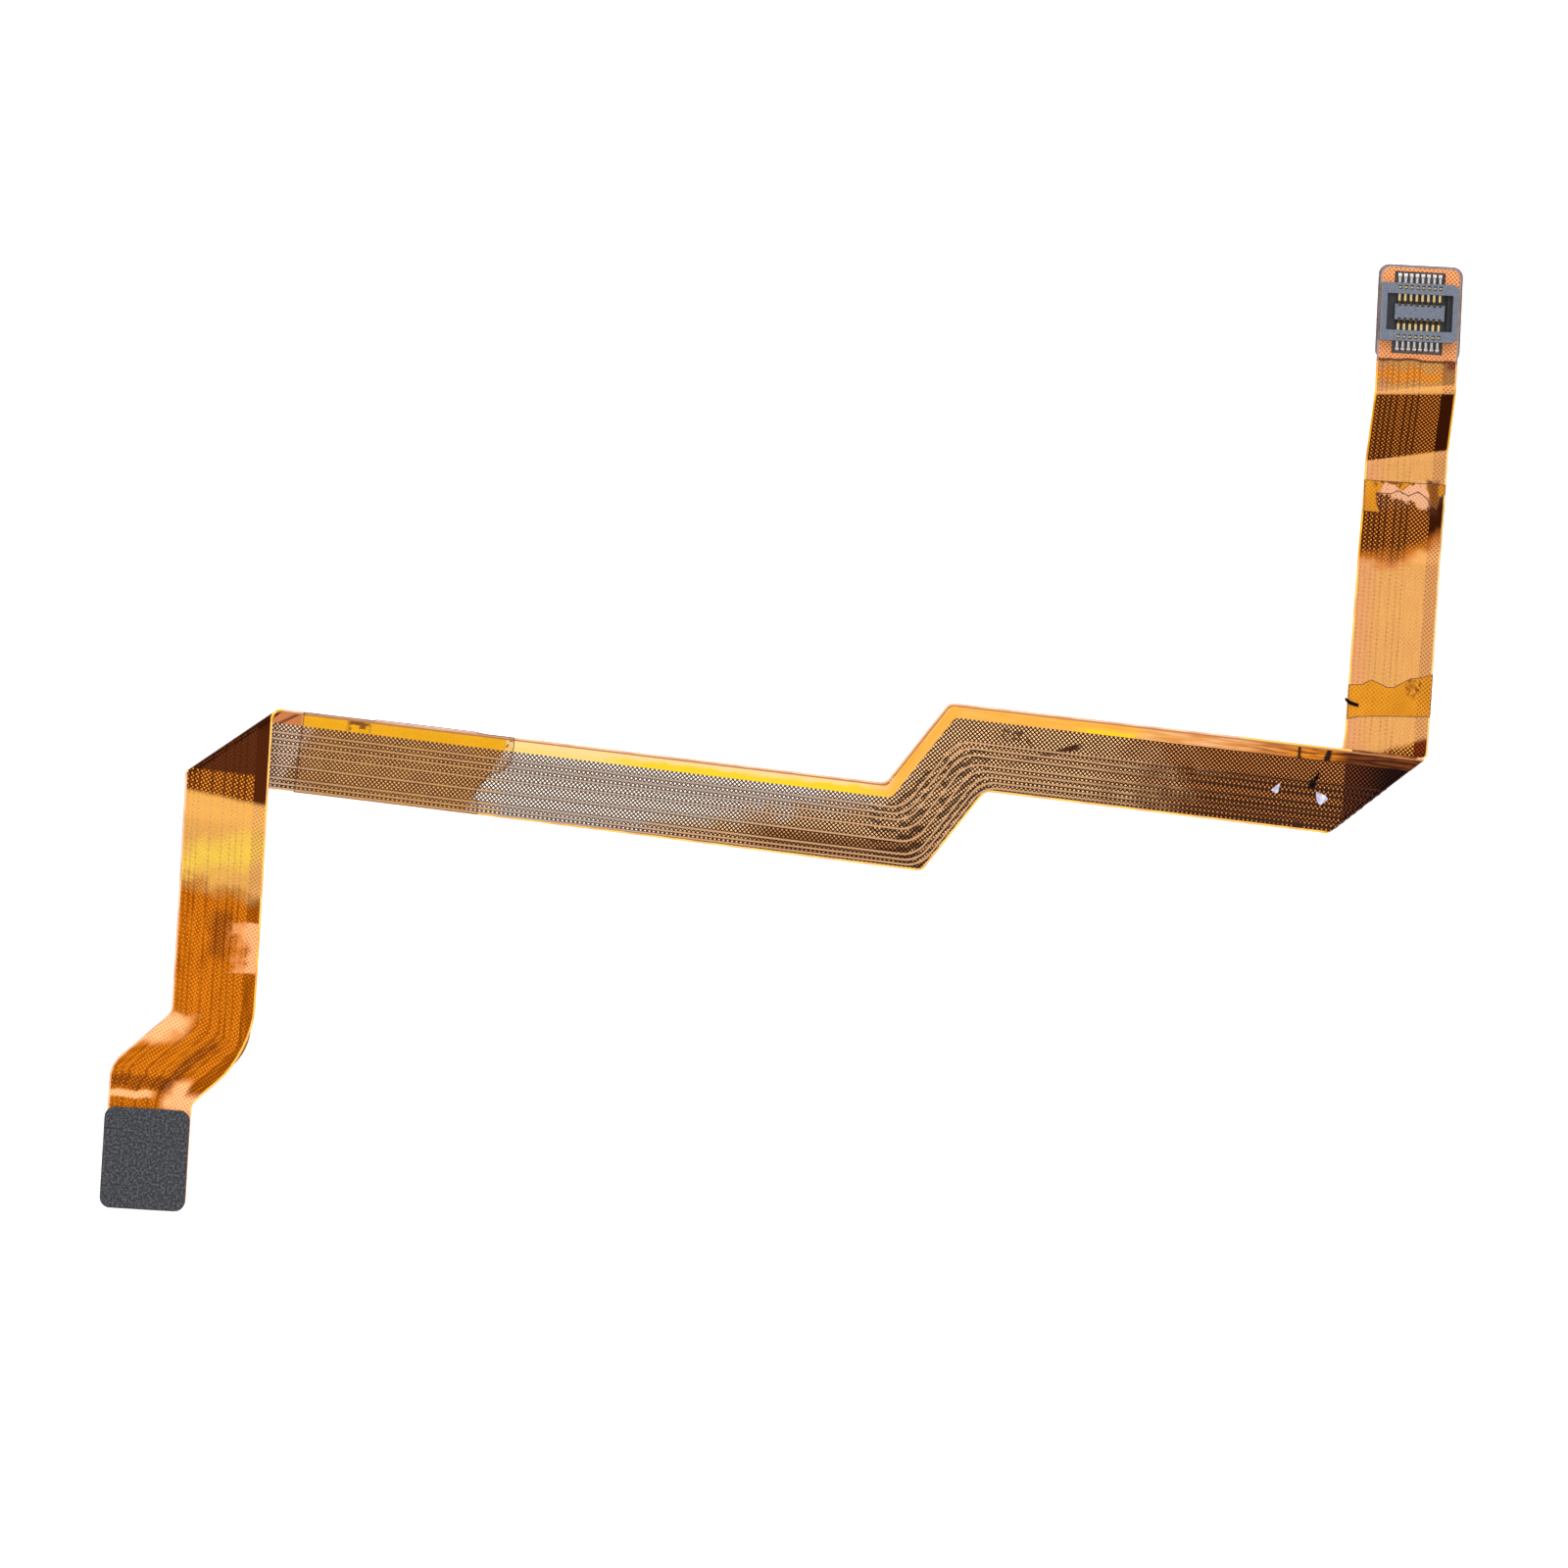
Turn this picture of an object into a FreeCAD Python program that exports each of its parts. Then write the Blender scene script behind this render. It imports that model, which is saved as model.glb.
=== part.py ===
"""Flat flex cable: one amber film, folded over twice, with copper tracks on one face,
a board socket soldered at each end, a black backing pad behind each socket,
and scraps of the adhesive tape that once held it down.

The film is drawn flat and then folded. Flat X runs along the middle run of the cable,
flat Y across it, and w is the height above the film's middle, towards face A (tracks).
The middle run stays level, with face A up. Both legs are folded over, with face B up.
Millimetres throughout. The row frame has +X along the middle run and +Z up.
"""
import FreeCAD
import Part
import math
import os
from FreeCAD import Placement, Rotation, Vector

# Film: polyimide base, two copper layers and two cover films, pressed into one sheet
film_thickness = 0.2
track_height = 0.035            # how far a copper track stands proud of face A
end_corner_radius = 0.9

# Middle run, with its step sideways
run_left_length = 52.2          # upper edge, from the left fold to the step
run_left_width = 7.22           # at the step
run_left_taper = 0.27           # how much narrower it is at the fold
run_right_length = 40.9         # upper edge, from the step to the right fold
run_right_width = 7.29
run_right_heading = 0.27
step_offset = 7.56              # how far the step shifts the upper edge
step_angle = 58.3
step_width = 7.26               # across the slanting part
step_upper_radius = 0.8
step_lower_radius = 0.7

# Folds: each turns the film right over, on a slanting line
fold_radius = 0.4               # to the middle of the film
left_fold_slant = 41.0
right_fold_slant = 44.5

# Left leg: lengths run back from its end, widths across it from its outer edge
left_leg_length = 43.0          # from where it leaves the fold
left_leg_width = 7.25
left_leg_kink = 11.5            # how far the leg is cut off the line of the run
left_jog_back = 13.98           # outer edge, where the leg turns aside
left_jog_angle = 46.3
left_jog_offset = 5.0
left_jog_outer_radius = 9.0
left_jog_inner_radius = 1.0
left_jog_heel_radius = 2.5

# Right leg, measured the same way
right_leg_length = 44.3
right_leg_width = 7.33
right_leg_taper = 0.34
right_leg_kink = 4.2

# Gentle bends: where each starts, and how tight it is
lift_start = 9.6                # the run rises here to climb over the right leg
lift_radius = 35.0
level_start = 20.0
level_radius = 127.0
drape_start = 7.9               # the left leg comes down off the run
drape_radius = 13.0
drape_skew = 6.6
settle_start = 14.6
settle_radius = 16.0
ramp_start_back = 26.0          # the left leg climbs to its socket
ramp_radius = 19.0
ramp_end_back = 10.7
ramp_end_radius = 11.5
kick_start_back = 26.75         # first, soft rise of the right leg
kick_radius = 5.0
kick_angle = 14.0
kick_end_back = 22.15
kick_skew = -9.0
crease_radius = 0.8             # second, sharp rise of the right leg
crease_start_back = 17.4
crease_start_skew = -11.0
crease_angle = 34.0
crease_end_back = 11.15
crease_end_skew = -5.0

# Copper tracks, across the film from its upper edge
power_track_inset = 0.3
power_track_width = 0.95
power_step_radius = 0.6         # it follows the edge of the film closely
signal_track_width = 0.15
signal_left = (1.95, 2.5, 3.0, 3.75, 4.8, 5.9, 6.35, 6.75)
signal_right = (3.15, 3.65, 4.2, 5.0, 5.5, 5.95, 6.4, 6.85)
track_step_radius = 2.2
track_jog_radius = 4.0
track_heel_radius = 1.0
track_to_window = 0.5           # left end of each track, short of the land window
track_to_pad = 0.55             # right end of each track, short of the backing pad

# Backing pads
left_pad_length = 8.75
left_pad_width = 7.38
right_pad_length = 8.3
right_pad_width = 7.3
pad_thickness = 0.5
pad_corner_radius = 0.9
pad_overhang = 0.12             # past the film's end
left_pad_shift = 0.12           # the left pad sits off the middle of its leg

# Sockets: moulded housing with two rows of bent contacts
contact_pitch = 0.5
contacts_per_row = 8
contact_width = 0.2
contact_thickness = 0.1
crest_cut = 0.06                # 45 degree corners of the crest
housing_length = 6.65
housing_width = 5.0
housing_height = 1.1
housing_floor = 0.3
housing_key_chamfer = 0.35
housing_corner_radius = 0.12
cavity_length = 5.7
cavity_width = 3.15
island_length = 4.3
island_width = 1.35
island_drop = 0.12              # island top below the rim
ledge_height = 0.65             # end ledges of the cavity, above the film
ledge_gap = 0.25                # slot between the island and one ledge
slot_clearance = 0.03
moat_notch_height = 0.7         # notch in the rim's inner wall, for the contact
island_notch_depth = 0.17
foot_reach = 0.75               # contact foot beyond the housing
crest_outer = 2.23              # outer leg of the contact, from the socket's middle
crest_inner = 2.03
crest_drop = 0.1                # crest below the rim
tip_reach = 0.64                # contact tip, from the socket's middle
tip_drop = 0.24
tip_lean = 0.32
land_depth = 0.03               # solder land let into the cover film
land_width = 0.3
land_margin = 0.12
window_under = 0.3              # land window's edge, in under the housing
bead_length = 0.44
bead_height = 0.15
socket_inset = 4.0              # socket's middle, back from the end of the film
right_socket_shift = 0.1

# Tape scraps and crumbs
tape_thickness = 0.05
fleck_thickness = 0.06
run_tape_inset = 1.5            # cut edge of the run's tape, from the left fold
run_tape_margin = 0.2           # its lower edge, inside that of the film
low_tape_inset = 3.85           # near corner of the lower tape, along the right leg
high_tape_back = 19.55          # cut edge of the upper tape, back from the leg's end
pale_fleck_place = (11.9, 3.5)  # back from the right fold's heel, and flat Y
wide_fleck_place = (7.93, 3.2)
dark_fleck_place = (8.77, 4.0)
grey_fleck_place = (1.6, 0.15)  # past the lower tape's near corner, and off the film

# Edges that cross a bend are curves through points this many degrees apart,
# and a bend of less than this is crossed in one straight stride
turn_per_point = 30.0


def unit(degrees):
    """Direction in the flat sheet at an angle from flat X."""
    return Vector(math.cos(math.radians(degrees)), math.sin(math.radians(degrees)), 0)


class Bend:
    """One bend of the film about a straight line.

    start is a point of the line where it begins, away is the direction in the sheet
    square to that line and away from the middle run. A positive angle curls the film
    towards face A.
    """

    def __init__(self, start, away, angle, radius):
        self.start = start
        self.away = away
        self.along = Vector(-away.y, away.x, 0)
        self.angle = angle
        self.radius = radius
        self.length = radius * math.radians(abs(angle))

    def distance(self, point):
        return (point - self.start).dot(self.away)

    def motion(self, distance):
        """Rigid motion of the film that lies this far past the start of the bend."""
        reach = min(max(distance, 0.0), self.length)
        turn = reach / self.radius
        side = 1.0 if self.angle > 0 else -1.0
        forward = self.away * (self.radius * math.sin(turn))
        upward = Vector(0, 0, side * self.radius * (1 - math.cos(turn)))
        axis = self.away.cross(Vector(0, 0, 1)) * side
        rolled = Placement(self.start + forward + upward,
                           Rotation(axis, math.degrees(turn)))
        return rolled * Placement(-(self.start + self.away * reach), Rotation())


# Flat outline: corner points of the middle run
step_run = step_offset / math.tan(math.radians(step_angle))
step_side = unit(step_angle - 90)
left_fold_line = unit(left_fold_slant)
right_fold_line = unit(right_fold_slant)
left_away = unit(left_fold_slant + 90)
right_away = unit(right_fold_slant - 90)
right_run_line = unit(run_right_heading)
left_heel = Vector(-run_left_length, 0, 0)
left_turn = left_heel - Vector(math.pi * fold_radius / -left_away.x, 0, 0)
right_heel = Vector(step_run, step_offset, 0) + right_run_line * run_right_length


def crossing(point_a, direction_a, point_b, direction_b):
    """Where two lines of the sheet cross."""
    normal = Vector(-direction_b.y, direction_b.x, 0)
    reach = (point_b - point_a).dot(normal) / direction_a.dot(normal)
    return point_a + direction_a * reach


class Leg:
    """Axes of one leg in the flat sheet: s along it from its heel, t across it."""

    def __init__(self, heel, heading):
        self.heel = heel
        self.along = unit(heading)
        across = unit(heading + 90)
        self.across = across if across.y < 0 else across * -1.0

    def at(self, s, t):
        return self.heel + self.along * s + self.across * t

    def bend(self, s, skew, angle, radius, middle):
        """A bend across the leg; skew turns its line away from square."""
        turned = Rotation(Vector(0, 0, 1), skew).multVec(self.along)
        return Bend(self.at(s, middle), turned, angle, radius)


left_leg = Leg(left_turn, 180 - left_leg_kink)
left_jog_start = left_leg_length - left_jog_back
right_leg = Leg(right_heel, -right_leg_kink)
right_run = Leg(Vector(step_run, step_offset, 0), 0)


def rise_angle(rise, length):
    """Slope that gains a height between the middles of two bends."""
    return math.degrees(math.asin(rise / length))


def middle_of(start, radius, angle):
    return start + 0.5 * radius * math.radians(angle)


def slope_between(rise, start, start_radius, end, end_radius):
    """Slope for a rise between two bends that start at given places."""
    angle = rise_angle(rise, end - start)
    for _ in range(6):
        angle = rise_angle(rise, middle_of(end, end_radius, angle)
                           - middle_of(start, start_radius, angle))
    return angle


stack = 2 * fold_radius         # one layer of film over the other, middle to middle
floor_run = film_thickness / 2
floor_leg = floor_run + track_height
ramp_start = left_leg_length - ramp_start_back
ramp_end = left_leg_length - ramp_end_back
kick_start = right_leg_length - kick_start_back
kick_end = right_leg_length - kick_end_back
crease_start = right_leg_length - crease_start_back
crease_end = right_leg_length - crease_end_back
lift_angle = slope_between(stack + track_height, lift_start, lift_radius,
                           level_start, level_radius)
drape_angle = slope_between(stack + floor_run - floor_leg, drape_start, drape_radius,
                            settle_start, settle_radius)
ramp_angle = slope_between(housing_height + floor_run - floor_leg, ramp_start,
                           ramp_radius, ramp_end, ramp_end_radius)

left_middle = left_leg_width / 2
right_middle = right_leg_width / 2

# Each chain of bends starts at the middle run and works outwards
left_bends = [
    Bend(left_heel, left_away, 180, fold_radius),
    left_leg.bend(drape_start, drape_skew, drape_angle, drape_radius, left_middle),
    left_leg.bend(settle_start, drape_skew, -drape_angle, settle_radius, left_middle),
    left_leg.bend(ramp_start, 0, -ramp_angle, ramp_radius, left_middle),
    left_leg.bend(ramp_end, 0, ramp_angle, ramp_end_radius,
                  left_middle + left_jog_offset),
]
right_bends = [
    right_run.bend(lift_start - step_run, 0, lift_angle, lift_radius, right_middle),
    right_run.bend(level_start - step_run, 0, -lift_angle, level_radius, right_middle),
    Bend(right_heel, right_away, -180, fold_radius),
    right_leg.bend(kick_start, kick_skew, -kick_angle, kick_radius, right_middle),
    right_leg.bend(kick_end, kick_skew, kick_angle, kick_radius, right_middle),
    right_leg.bend(crease_start, crease_start_skew, -crease_angle, crease_radius,
                   right_middle),
    right_leg.bend(crease_end, crease_end_skew, crease_angle, crease_radius,
                   right_middle),
]
run_placement = Placement(Vector(0, 0, floor_run), Rotation())


def motion_past(bends, count):
    """Motion of the flat stretch that follows the first bends of a chain."""
    motion = run_placement
    for bend in bends[:count]:
        motion = motion * bend.motion(bend.length)
    return motion


def folded(bends, count, point):
    """Where a point of the sheet inside bend number count goes."""
    bend = bends[count]
    motion = motion_past(bends, count) * bend.motion(bend.distance(point))
    return motion.multVec(point)


def rounded_face(corners):
    """Flat face with the given corners; each is (point, radius)."""
    edges = []
    ends = []
    count = len(corners)
    for index, (point, radius) in enumerate(corners):
        before = (corners[index - 1][0] - point).normalize()
        after = (corners[(index + 1) % count][0] - point).normalize()
        if radius <= 0:
            ends.append((point, point, None))
            continue
        half = 0.5 * before.getAngle(after)
        reach = radius / math.tan(half)
        centre = point + (before + after).normalize() * (radius / math.sin(half))
        middle = centre + (point - centre).normalize() * radius
        ends.append((point + before * reach, point + after * reach, middle))
    for index, (first, last, middle) in enumerate(ends):
        if middle is not None:
            edges.append(Part.Arc(first, middle, last).toShape())
        following = ends[(index + 1) % count][0]
        if (following - last).Length > 1e-6:
            edges.append(Part.LineSegment(last, following).toShape())
    return Part.Face(Part.Wire(edges))


def sharp_face(points):
    """Flat face with the given corners, none of them rounded."""
    return Part.Face(Part.makePolygon(points + points[:1]))


SHEET_REACH = 400.0             # larger than the whole sheet
LINE_REACH = 13.0               # half of a bend line, longer than the film is wide


def beyond(bend, distance):
    """The half of the sheet past a line parallel to the bend."""
    near = bend.start + bend.away * distance
    side = bend.along * SHEET_REACH
    far = bend.away * SHEET_REACH
    return sharp_face([near - side, near + side, near + side + far, near - side + far])


def width_at(face, bend, distance):
    """Ends of the stretch of a line of the bend that lies on the face."""
    middle = bend.start + bend.away * distance
    line = Part.LineSegment(middle - bend.along * LINE_REACH,
                            middle + bend.along * LINE_REACH).toShape()
    places = [(v.Point - middle).dot(bend.along) for v in line.common(face).Vertexes]
    if len(places) < 2:
        return None
    return middle + bend.along * min(places), middle + bend.along * max(places)


def level_solid(face, low, high, motion):
    """Flat stretch of a sheet between two heights, carried to its place."""
    solid = face.extrude(Vector(0, 0, high - low))
    solid.translate(Vector(0, 0, low))
    solid.Placement = motion * solid.Placement
    return solid


def ruled(first, second):
    """Face of straight lines between two curves that share their parameters."""
    surface = Part.BSplineSurface()
    surface.buildFromPolesMultsKnots([first.getPoles(), second.getPoles()],
                                     [2, 2], first.getMultiplicities(),
                                     [0, 1], first.getKnots(),
                                     False, False, 1, first.Degree)
    return surface.toShape()


def curved_solid(face, bends, count, low, high):
    """The stretch of a sheet that lies inside one bend, rolled round it."""
    bend = bends[count]
    steps = math.ceil(abs(bend.angle) / turn_per_point)
    places = [bend.length * step / steps for step in range(steps + 1)]
    widths = [width_at(face, bend, place) for place in places]
    if None in widths:
        return None

    def curve(side, height):
        lift = Vector(0, 0, height)
        line = Part.BSplineCurve()
        line.interpolate(Points=[folded(bends, count, ends[side] + lift)
                                 for ends in widths],
                         Parameters=places)
        return line

    curves = [curve(0, low), curve(1, low), curve(1, high), curve(0, high)]
    faces = [ruled(curves[index], curves[(index + 1) % 4]) for index in range(4)]
    for corners in ([c.StartPoint for c in curves], [c.EndPoint for c in curves]):
        faces.append(sharp_face(corners))
    shell = Part.makeShell(faces)
    shell.sewShape()
    solid = Part.makeSolid(shell)
    if solid.Volume < 0:
        solid.reverse()
    return solid


def fold_sheet(face, low, high):
    """One solid: a flat shape between two heights, folded with the film."""
    pieces = []
    middle = face.cut(beyond(left_bends[0], 0)).cut(beyond(right_bends[0], 0))
    for part in middle.Faces:
        pieces.append(level_solid(part, low, high, run_placement))
    for bends in (left_bends, right_bends):
        for count, bend in enumerate(bends):
            rest = face.common(beyond(bend, bend.length))
            inside = face.common(beyond(bend, 0)).cut(beyond(bend, bend.length))
            if inside.Area > 1e-6:
                piece = curved_solid(face, bends, count, low, high)
                if piece is not None:
                    pieces.append(piece)
            if count + 1 < len(bends):
                rest = rest.cut(beyond(bends[count + 1], 0))
            motion = motion_past(bends, count + 1)
            for part in rest.Faces:
                if part.Area > 1e-6:
                    pieces.append(level_solid(part, low, high, motion))
    whole = pieces[0]
    if len(pieces) > 1:
        whole = pieces[0].multiFuse(pieces[1:])
    if len(whole.Solids) != 1:
        raise ValueError("folded sheet fell into %d solids" % len(whole.Solids))
    return whole.Solids[0]


def jog_inner(t):
    """Where the left leg's jog starts, for a line that lies t across the leg."""
    return left_jog_start - t * math.tan(math.radians(left_jog_angle / 2))


def film_outline():
    """Corners of the flat film: along its upper edge, then back along its lower."""
    jog_run = left_jog_offset / math.tan(math.radians(left_jog_angle))
    lower_left = Vector(0, -run_left_width, 0)
    lower_right = Vector(0, step_offset - run_right_width, 0)
    taper_line = Vector(-run_left_length, run_left_taper, 0).normalize()
    flat = Vector(1, 0, 0)
    step_line = unit(step_angle)
    step_lower = step_side * step_width
    left_far = left_leg_width + left_jog_offset
    left_turn_s = jog_inner(left_leg_width)
    right_far = right_leg.at(right_leg_length, right_leg_width - right_leg_taper)
    right_lower = (right_far - right_leg.at(0, right_leg_width)).normalize()
    return [
        (left_leg.at(left_leg_length, left_jog_offset), end_corner_radius),
        (left_leg.at(left_jog_start + jog_run, left_jog_offset), left_jog_inner_radius),
        (left_leg.at(left_jog_start, 0), left_jog_outer_radius),
        (left_turn, 0),
        (Vector(0, 0, 0), step_upper_radius),
        (Vector(step_run, step_offset, 0), step_upper_radius),
        (right_heel, 0),
        (right_leg.at(right_leg_length, 0), end_corner_radius),
        (right_far, end_corner_radius),
        (crossing(right_far, right_lower, lower_right, flat), 0),
        (crossing(step_lower, step_line, lower_right, flat), step_lower_radius),
        (crossing(step_lower, step_line, lower_left, taper_line), step_lower_radius),
        (crossing(left_leg.at(0, left_leg_width), left_leg.along, lower_left,
                  taper_line), 0),
        (left_leg.at(left_turn_s, left_leg_width), left_jog_inner_radius),
        (left_leg.at(left_turn_s + jog_run, left_far), left_jog_heel_radius),
        (left_leg.at(left_leg_length, left_far), end_corner_radius),
    ]


def track_line(inset_left, inset_right, step_radius):
    """Corners of one edge of a track, with the radius that each has."""
    window_back = socket_inset + housing_width / 2 + foot_reach + 2 * land_margin
    track_start = left_leg_length - window_back - track_to_window
    track_end = right_leg_length + pad_overhang - right_pad_length - track_to_pad
    turn = jog_inner(inset_left)
    jog_run = left_jog_offset / math.tan(math.radians(left_jog_angle))
    slanting = step_side * (0.5 * (inset_left + inset_right))
    run_left = Vector(0, -inset_left, 0)
    run_right = Vector(step_run, step_offset - inset_right, 0)
    flat = Vector(1, 0, 0)
    step_line = unit(step_angle)
    return [
        (left_leg.at(track_start, inset_left + left_jog_offset), 0),
        (left_leg.at(turn + jog_run, inset_left + left_jog_offset), track_heel_radius),
        (left_leg.at(turn, inset_left), track_jog_radius),
        (crossing(left_leg.at(0, inset_left), left_leg.along, run_left, flat), 0),
        (crossing(slanting, step_line, run_left, flat), step_radius),
        (crossing(slanting, step_line, run_right, right_run_line), step_radius),
        (crossing(right_leg.at(0, inset_right), right_leg.along, run_right,
                  right_run_line), 0),
        (right_leg.at(track_end, inset_right), 0),
    ]


def track(inset_left, inset_right, width, step_radius):
    """A copper track with its upper edge at the given insets."""
    upper = track_line(inset_left, inset_right, step_radius)
    lower = track_line(inset_left + width, inset_right + width, step_radius)
    face = rounded_face(upper + lower[::-1])
    return fold_sheet(face, film_thickness / 2, film_thickness / 2 + track_height)


def box(low, high):
    """Solid box between two corners."""
    size = Vector(*high) - Vector(*low)
    return Part.makeBox(size.x, size.y, size.z, Vector(*low))


def contact_places():
    """Middle of each contact along the socket."""
    first = -0.5 * contact_pitch * (contacts_per_row - 1)
    return [first + contact_pitch * index for index in range(contacts_per_row)]


def contact_route():
    """Corners of the middle line of a contact strip, from its foot to its tip."""
    half = contact_thickness / 2
    crest = housing_height - crest_drop - half
    bottom = housing_floor + slot_clearance + half
    corners = [
        (housing_width / 2 + foot_reach, half),
        (crest_outer, half),
        (crest_outer, crest - crest_cut),
        (crest_outer - crest_cut, crest),
        (crest_inner + crest_cut, crest),
        (crest_inner, crest - crest_cut),
        (crest_inner, bottom),
        (tip_reach + tip_lean, bottom),
        (tip_reach, housing_height - tip_drop),
    ]
    return [Vector(0, y, z) for y, z in corners]


def strip_side(route, offset):
    """Corners of one face of a bent strip, this far from its middle line."""
    runs = [(after - before).normalize() for before, after in zip(route, route[1:])]
    squares = [Vector(0, -run.z, run.y) for run in runs]
    side = [route[0] + squares[0] * offset]
    for before, after, corner in zip(squares, squares[1:], route[1:]):
        mitre = (before + after).normalize()
        side.append(corner + mitre * (offset / mitre.dot(after)))
    side.append(route[-1] + squares[-1] * offset)
    return side


def contact():
    """One bent contact on the +Y side of a socket, centred on X."""
    route = contact_route()
    upper = strip_side(route, contact_thickness / 2)
    lower = strip_side(route, -contact_thickness / 2)
    solid = sharp_face(upper + lower[::-1]).extrude(Vector(contact_width, 0, 0))
    solid.translate(Vector(-contact_width / 2, 0, 0))
    return solid


def contact_slot():
    """The room that one contact takes in the housing, on the +Y side."""
    gap = slot_clearance + contact_thickness / 2
    outside = housing_width / 2 + slot_clearance
    foot_top = contact_thickness + slot_clearance
    rise = housing_height + slot_clearance
    moat = cavity_width / 2
    notch = island_width / 2
    wall_slot = [
        (outside, 0), (outside, foot_top), (crest_outer + gap, foot_top),
        (crest_outer + gap, rise), (crest_inner - gap, rise),
        (crest_inner - gap, moat_notch_height), (moat - slot_clearance, moat_notch_height),
        (moat - slot_clearance, housing_floor), (crest_outer - gap, housing_floor),
        (crest_outer - gap, 0),
    ]
    island_slot = [
        (notch + slot_clearance, housing_floor), (notch + slot_clearance, rise),
        (notch - island_notch_depth, rise), (notch - island_notch_depth, housing_floor),
    ]
    width = contact_width + 2 * slot_clearance
    slots = []
    for outline in (wall_slot, island_slot):
        face = sharp_face([Vector(-width / 2, y, z) for y, z in outline])
        slots.append(face.extrude(Vector(width, 0, 0)))
    return slots


def housing():
    """Moulded socket body: rim, cavity, centre island, end ledges and contact slots."""
    length = housing_length / 2
    width = housing_width / 2
    key = housing_key_chamfer
    corners = [
        (Vector(-length, -width, 0), housing_corner_radius),
        (Vector(length - key, -width, 0), housing_corner_radius),
        (Vector(length, -width + key, 0), housing_corner_radius),
        (Vector(length, width - key, 0), housing_corner_radius),
        (Vector(length - key, width, 0), housing_corner_radius),
        (Vector(-length, width, 0), housing_corner_radius),
    ]
    body = rounded_face(corners).extrude(Vector(0, 0, housing_height))
    cavity = box((-cavity_length / 2, -cavity_width / 2, housing_floor),
                 (cavity_length / 2, cavity_width / 2, housing_height))
    island = box((-island_length / 2, -island_width / 2, housing_floor),
                 (island_length / 2, island_width / 2, housing_height - island_drop))
    left_ledge = box((-cavity_length / 2, -cavity_width / 2, housing_floor),
                     (-island_length / 2, cavity_width / 2, ledge_height))
    right_ledge = box((island_length / 2 + ledge_gap, -cavity_width / 2, housing_floor),
                      (cavity_length / 2, cavity_width / 2, ledge_height))
    body = body.cut(cavity).fuse([island, left_ledge, right_ledge])
    slots = []
    for place in contact_places():
        for tool in contact_slot():
            for turned in (0, 180):
                slot = tool.copy()
                slot.rotate(Vector(0, 0, 0), Vector(0, 0, 1), turned)
                slot.translate(Vector(place, 0, 0))
                slots.append(slot)
    return body.cut(slots).removeSplitter().Solids[0]


def solder_joint():
    """Solder land and the bead over the end of a contact's foot, on the +Y side."""
    near = housing_width / 2 + slot_clearance
    far = housing_width / 2 + foot_reach + land_margin
    land = box((-land_width / 2, near, -land_depth), (land_width / 2, far, 0))
    outline = [(far - bead_length, 0), (far - 0.7 * bead_length, bead_height),
               (far - 0.3 * bead_length, bead_height), (far, 0)]
    face = sharp_face([Vector(-land_width / 2, y, z) for y, z in outline])
    bead = face.extrude(Vector(land_width, 0, 0))
    return land.fuse(bead).cut(contact()).removeSplitter()


def along_rows(shape):
    """Copies of a shape at every contact place of both rows."""
    copies = []
    for turned in (0, 180):
        for place in contact_places():
            copy = shape.copy()
            copy.rotate(Vector(0, 0, 0), Vector(0, 0, 1), turned)
            copy.translate(Vector(place, 0, 0))
            copies.append(copy)
    return copies


def socket_frame(leg, bends, s, t, face_a):
    """Placement of a socket or pad on the end of a leg; face_a picks the side."""
    height = film_thickness / 2 if face_a else -film_thickness / 2
    seat = leg.at(s, t) + Vector(0, 0, height)
    up = Vector(0, 0, 1 if face_a else -1)
    across = leg.across * -1.0
    turned = Rotation(across, up.cross(across), up, "ZXY")
    return motion_past(bends, len(bends)) * Placement(seat, turned)


def moved(shape, placement):
    copy = shape.copy()
    copy.Placement = placement * copy.Placement
    return copy


def land_window():
    """Shallow window in the cover film round one row of solder lands."""
    reach = 0.5 * contact_pitch * (contacts_per_row - 1) + land_width / 2 + land_margin
    foot_end = housing_width / 2 + foot_reach
    return box((-reach, housing_width / 2 - window_under, -land_depth),
               (reach, foot_end + 2 * land_margin, land_depth))


def pad(length, width):
    """Backing pad, lying on z = 0, with its length along Y."""
    half_length = length / 2
    half_width = width / 2
    corners = [
        (Vector(-half_width, -half_length, 0), pad_corner_radius),
        (Vector(half_width, -half_length, 0), pad_corner_radius),
        (Vector(half_width, half_length, 0), pad_corner_radius),
        (Vector(-half_width, half_length, 0), pad_corner_radius),
    ]
    return rounded_face(corners).extrude(Vector(0, 0, pad_thickness))


def run_tape():
    """Tape on the left of the middle run: cut straight on the left, torn on the right."""
    lower = run_tape_margin - run_left_width
    outline = [
        (0.0, 0.0), (6.05, 0.0), (6.35, 0.1), (14.95, 0.1), (15.75, 0.0),
        (18.35, 0.0), (18.45, -0.7), (18.3, -2.2), (17.55, -3.1), (16.55, -3.5),
        (15.95, -4.3), (15.45, -5.2), (15.85, -5.9), (16.0, lower), (-0.05, lower),
    ]
    return [Vector(run_tape_inset - run_left_length + x, y, 0) for x, y in outline]


def leg_tape(s, outline):
    """Tape on the right leg, from its place and its outline along and across the leg."""
    return [right_leg.at(s + along, across) for along, across in outline]


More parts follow.
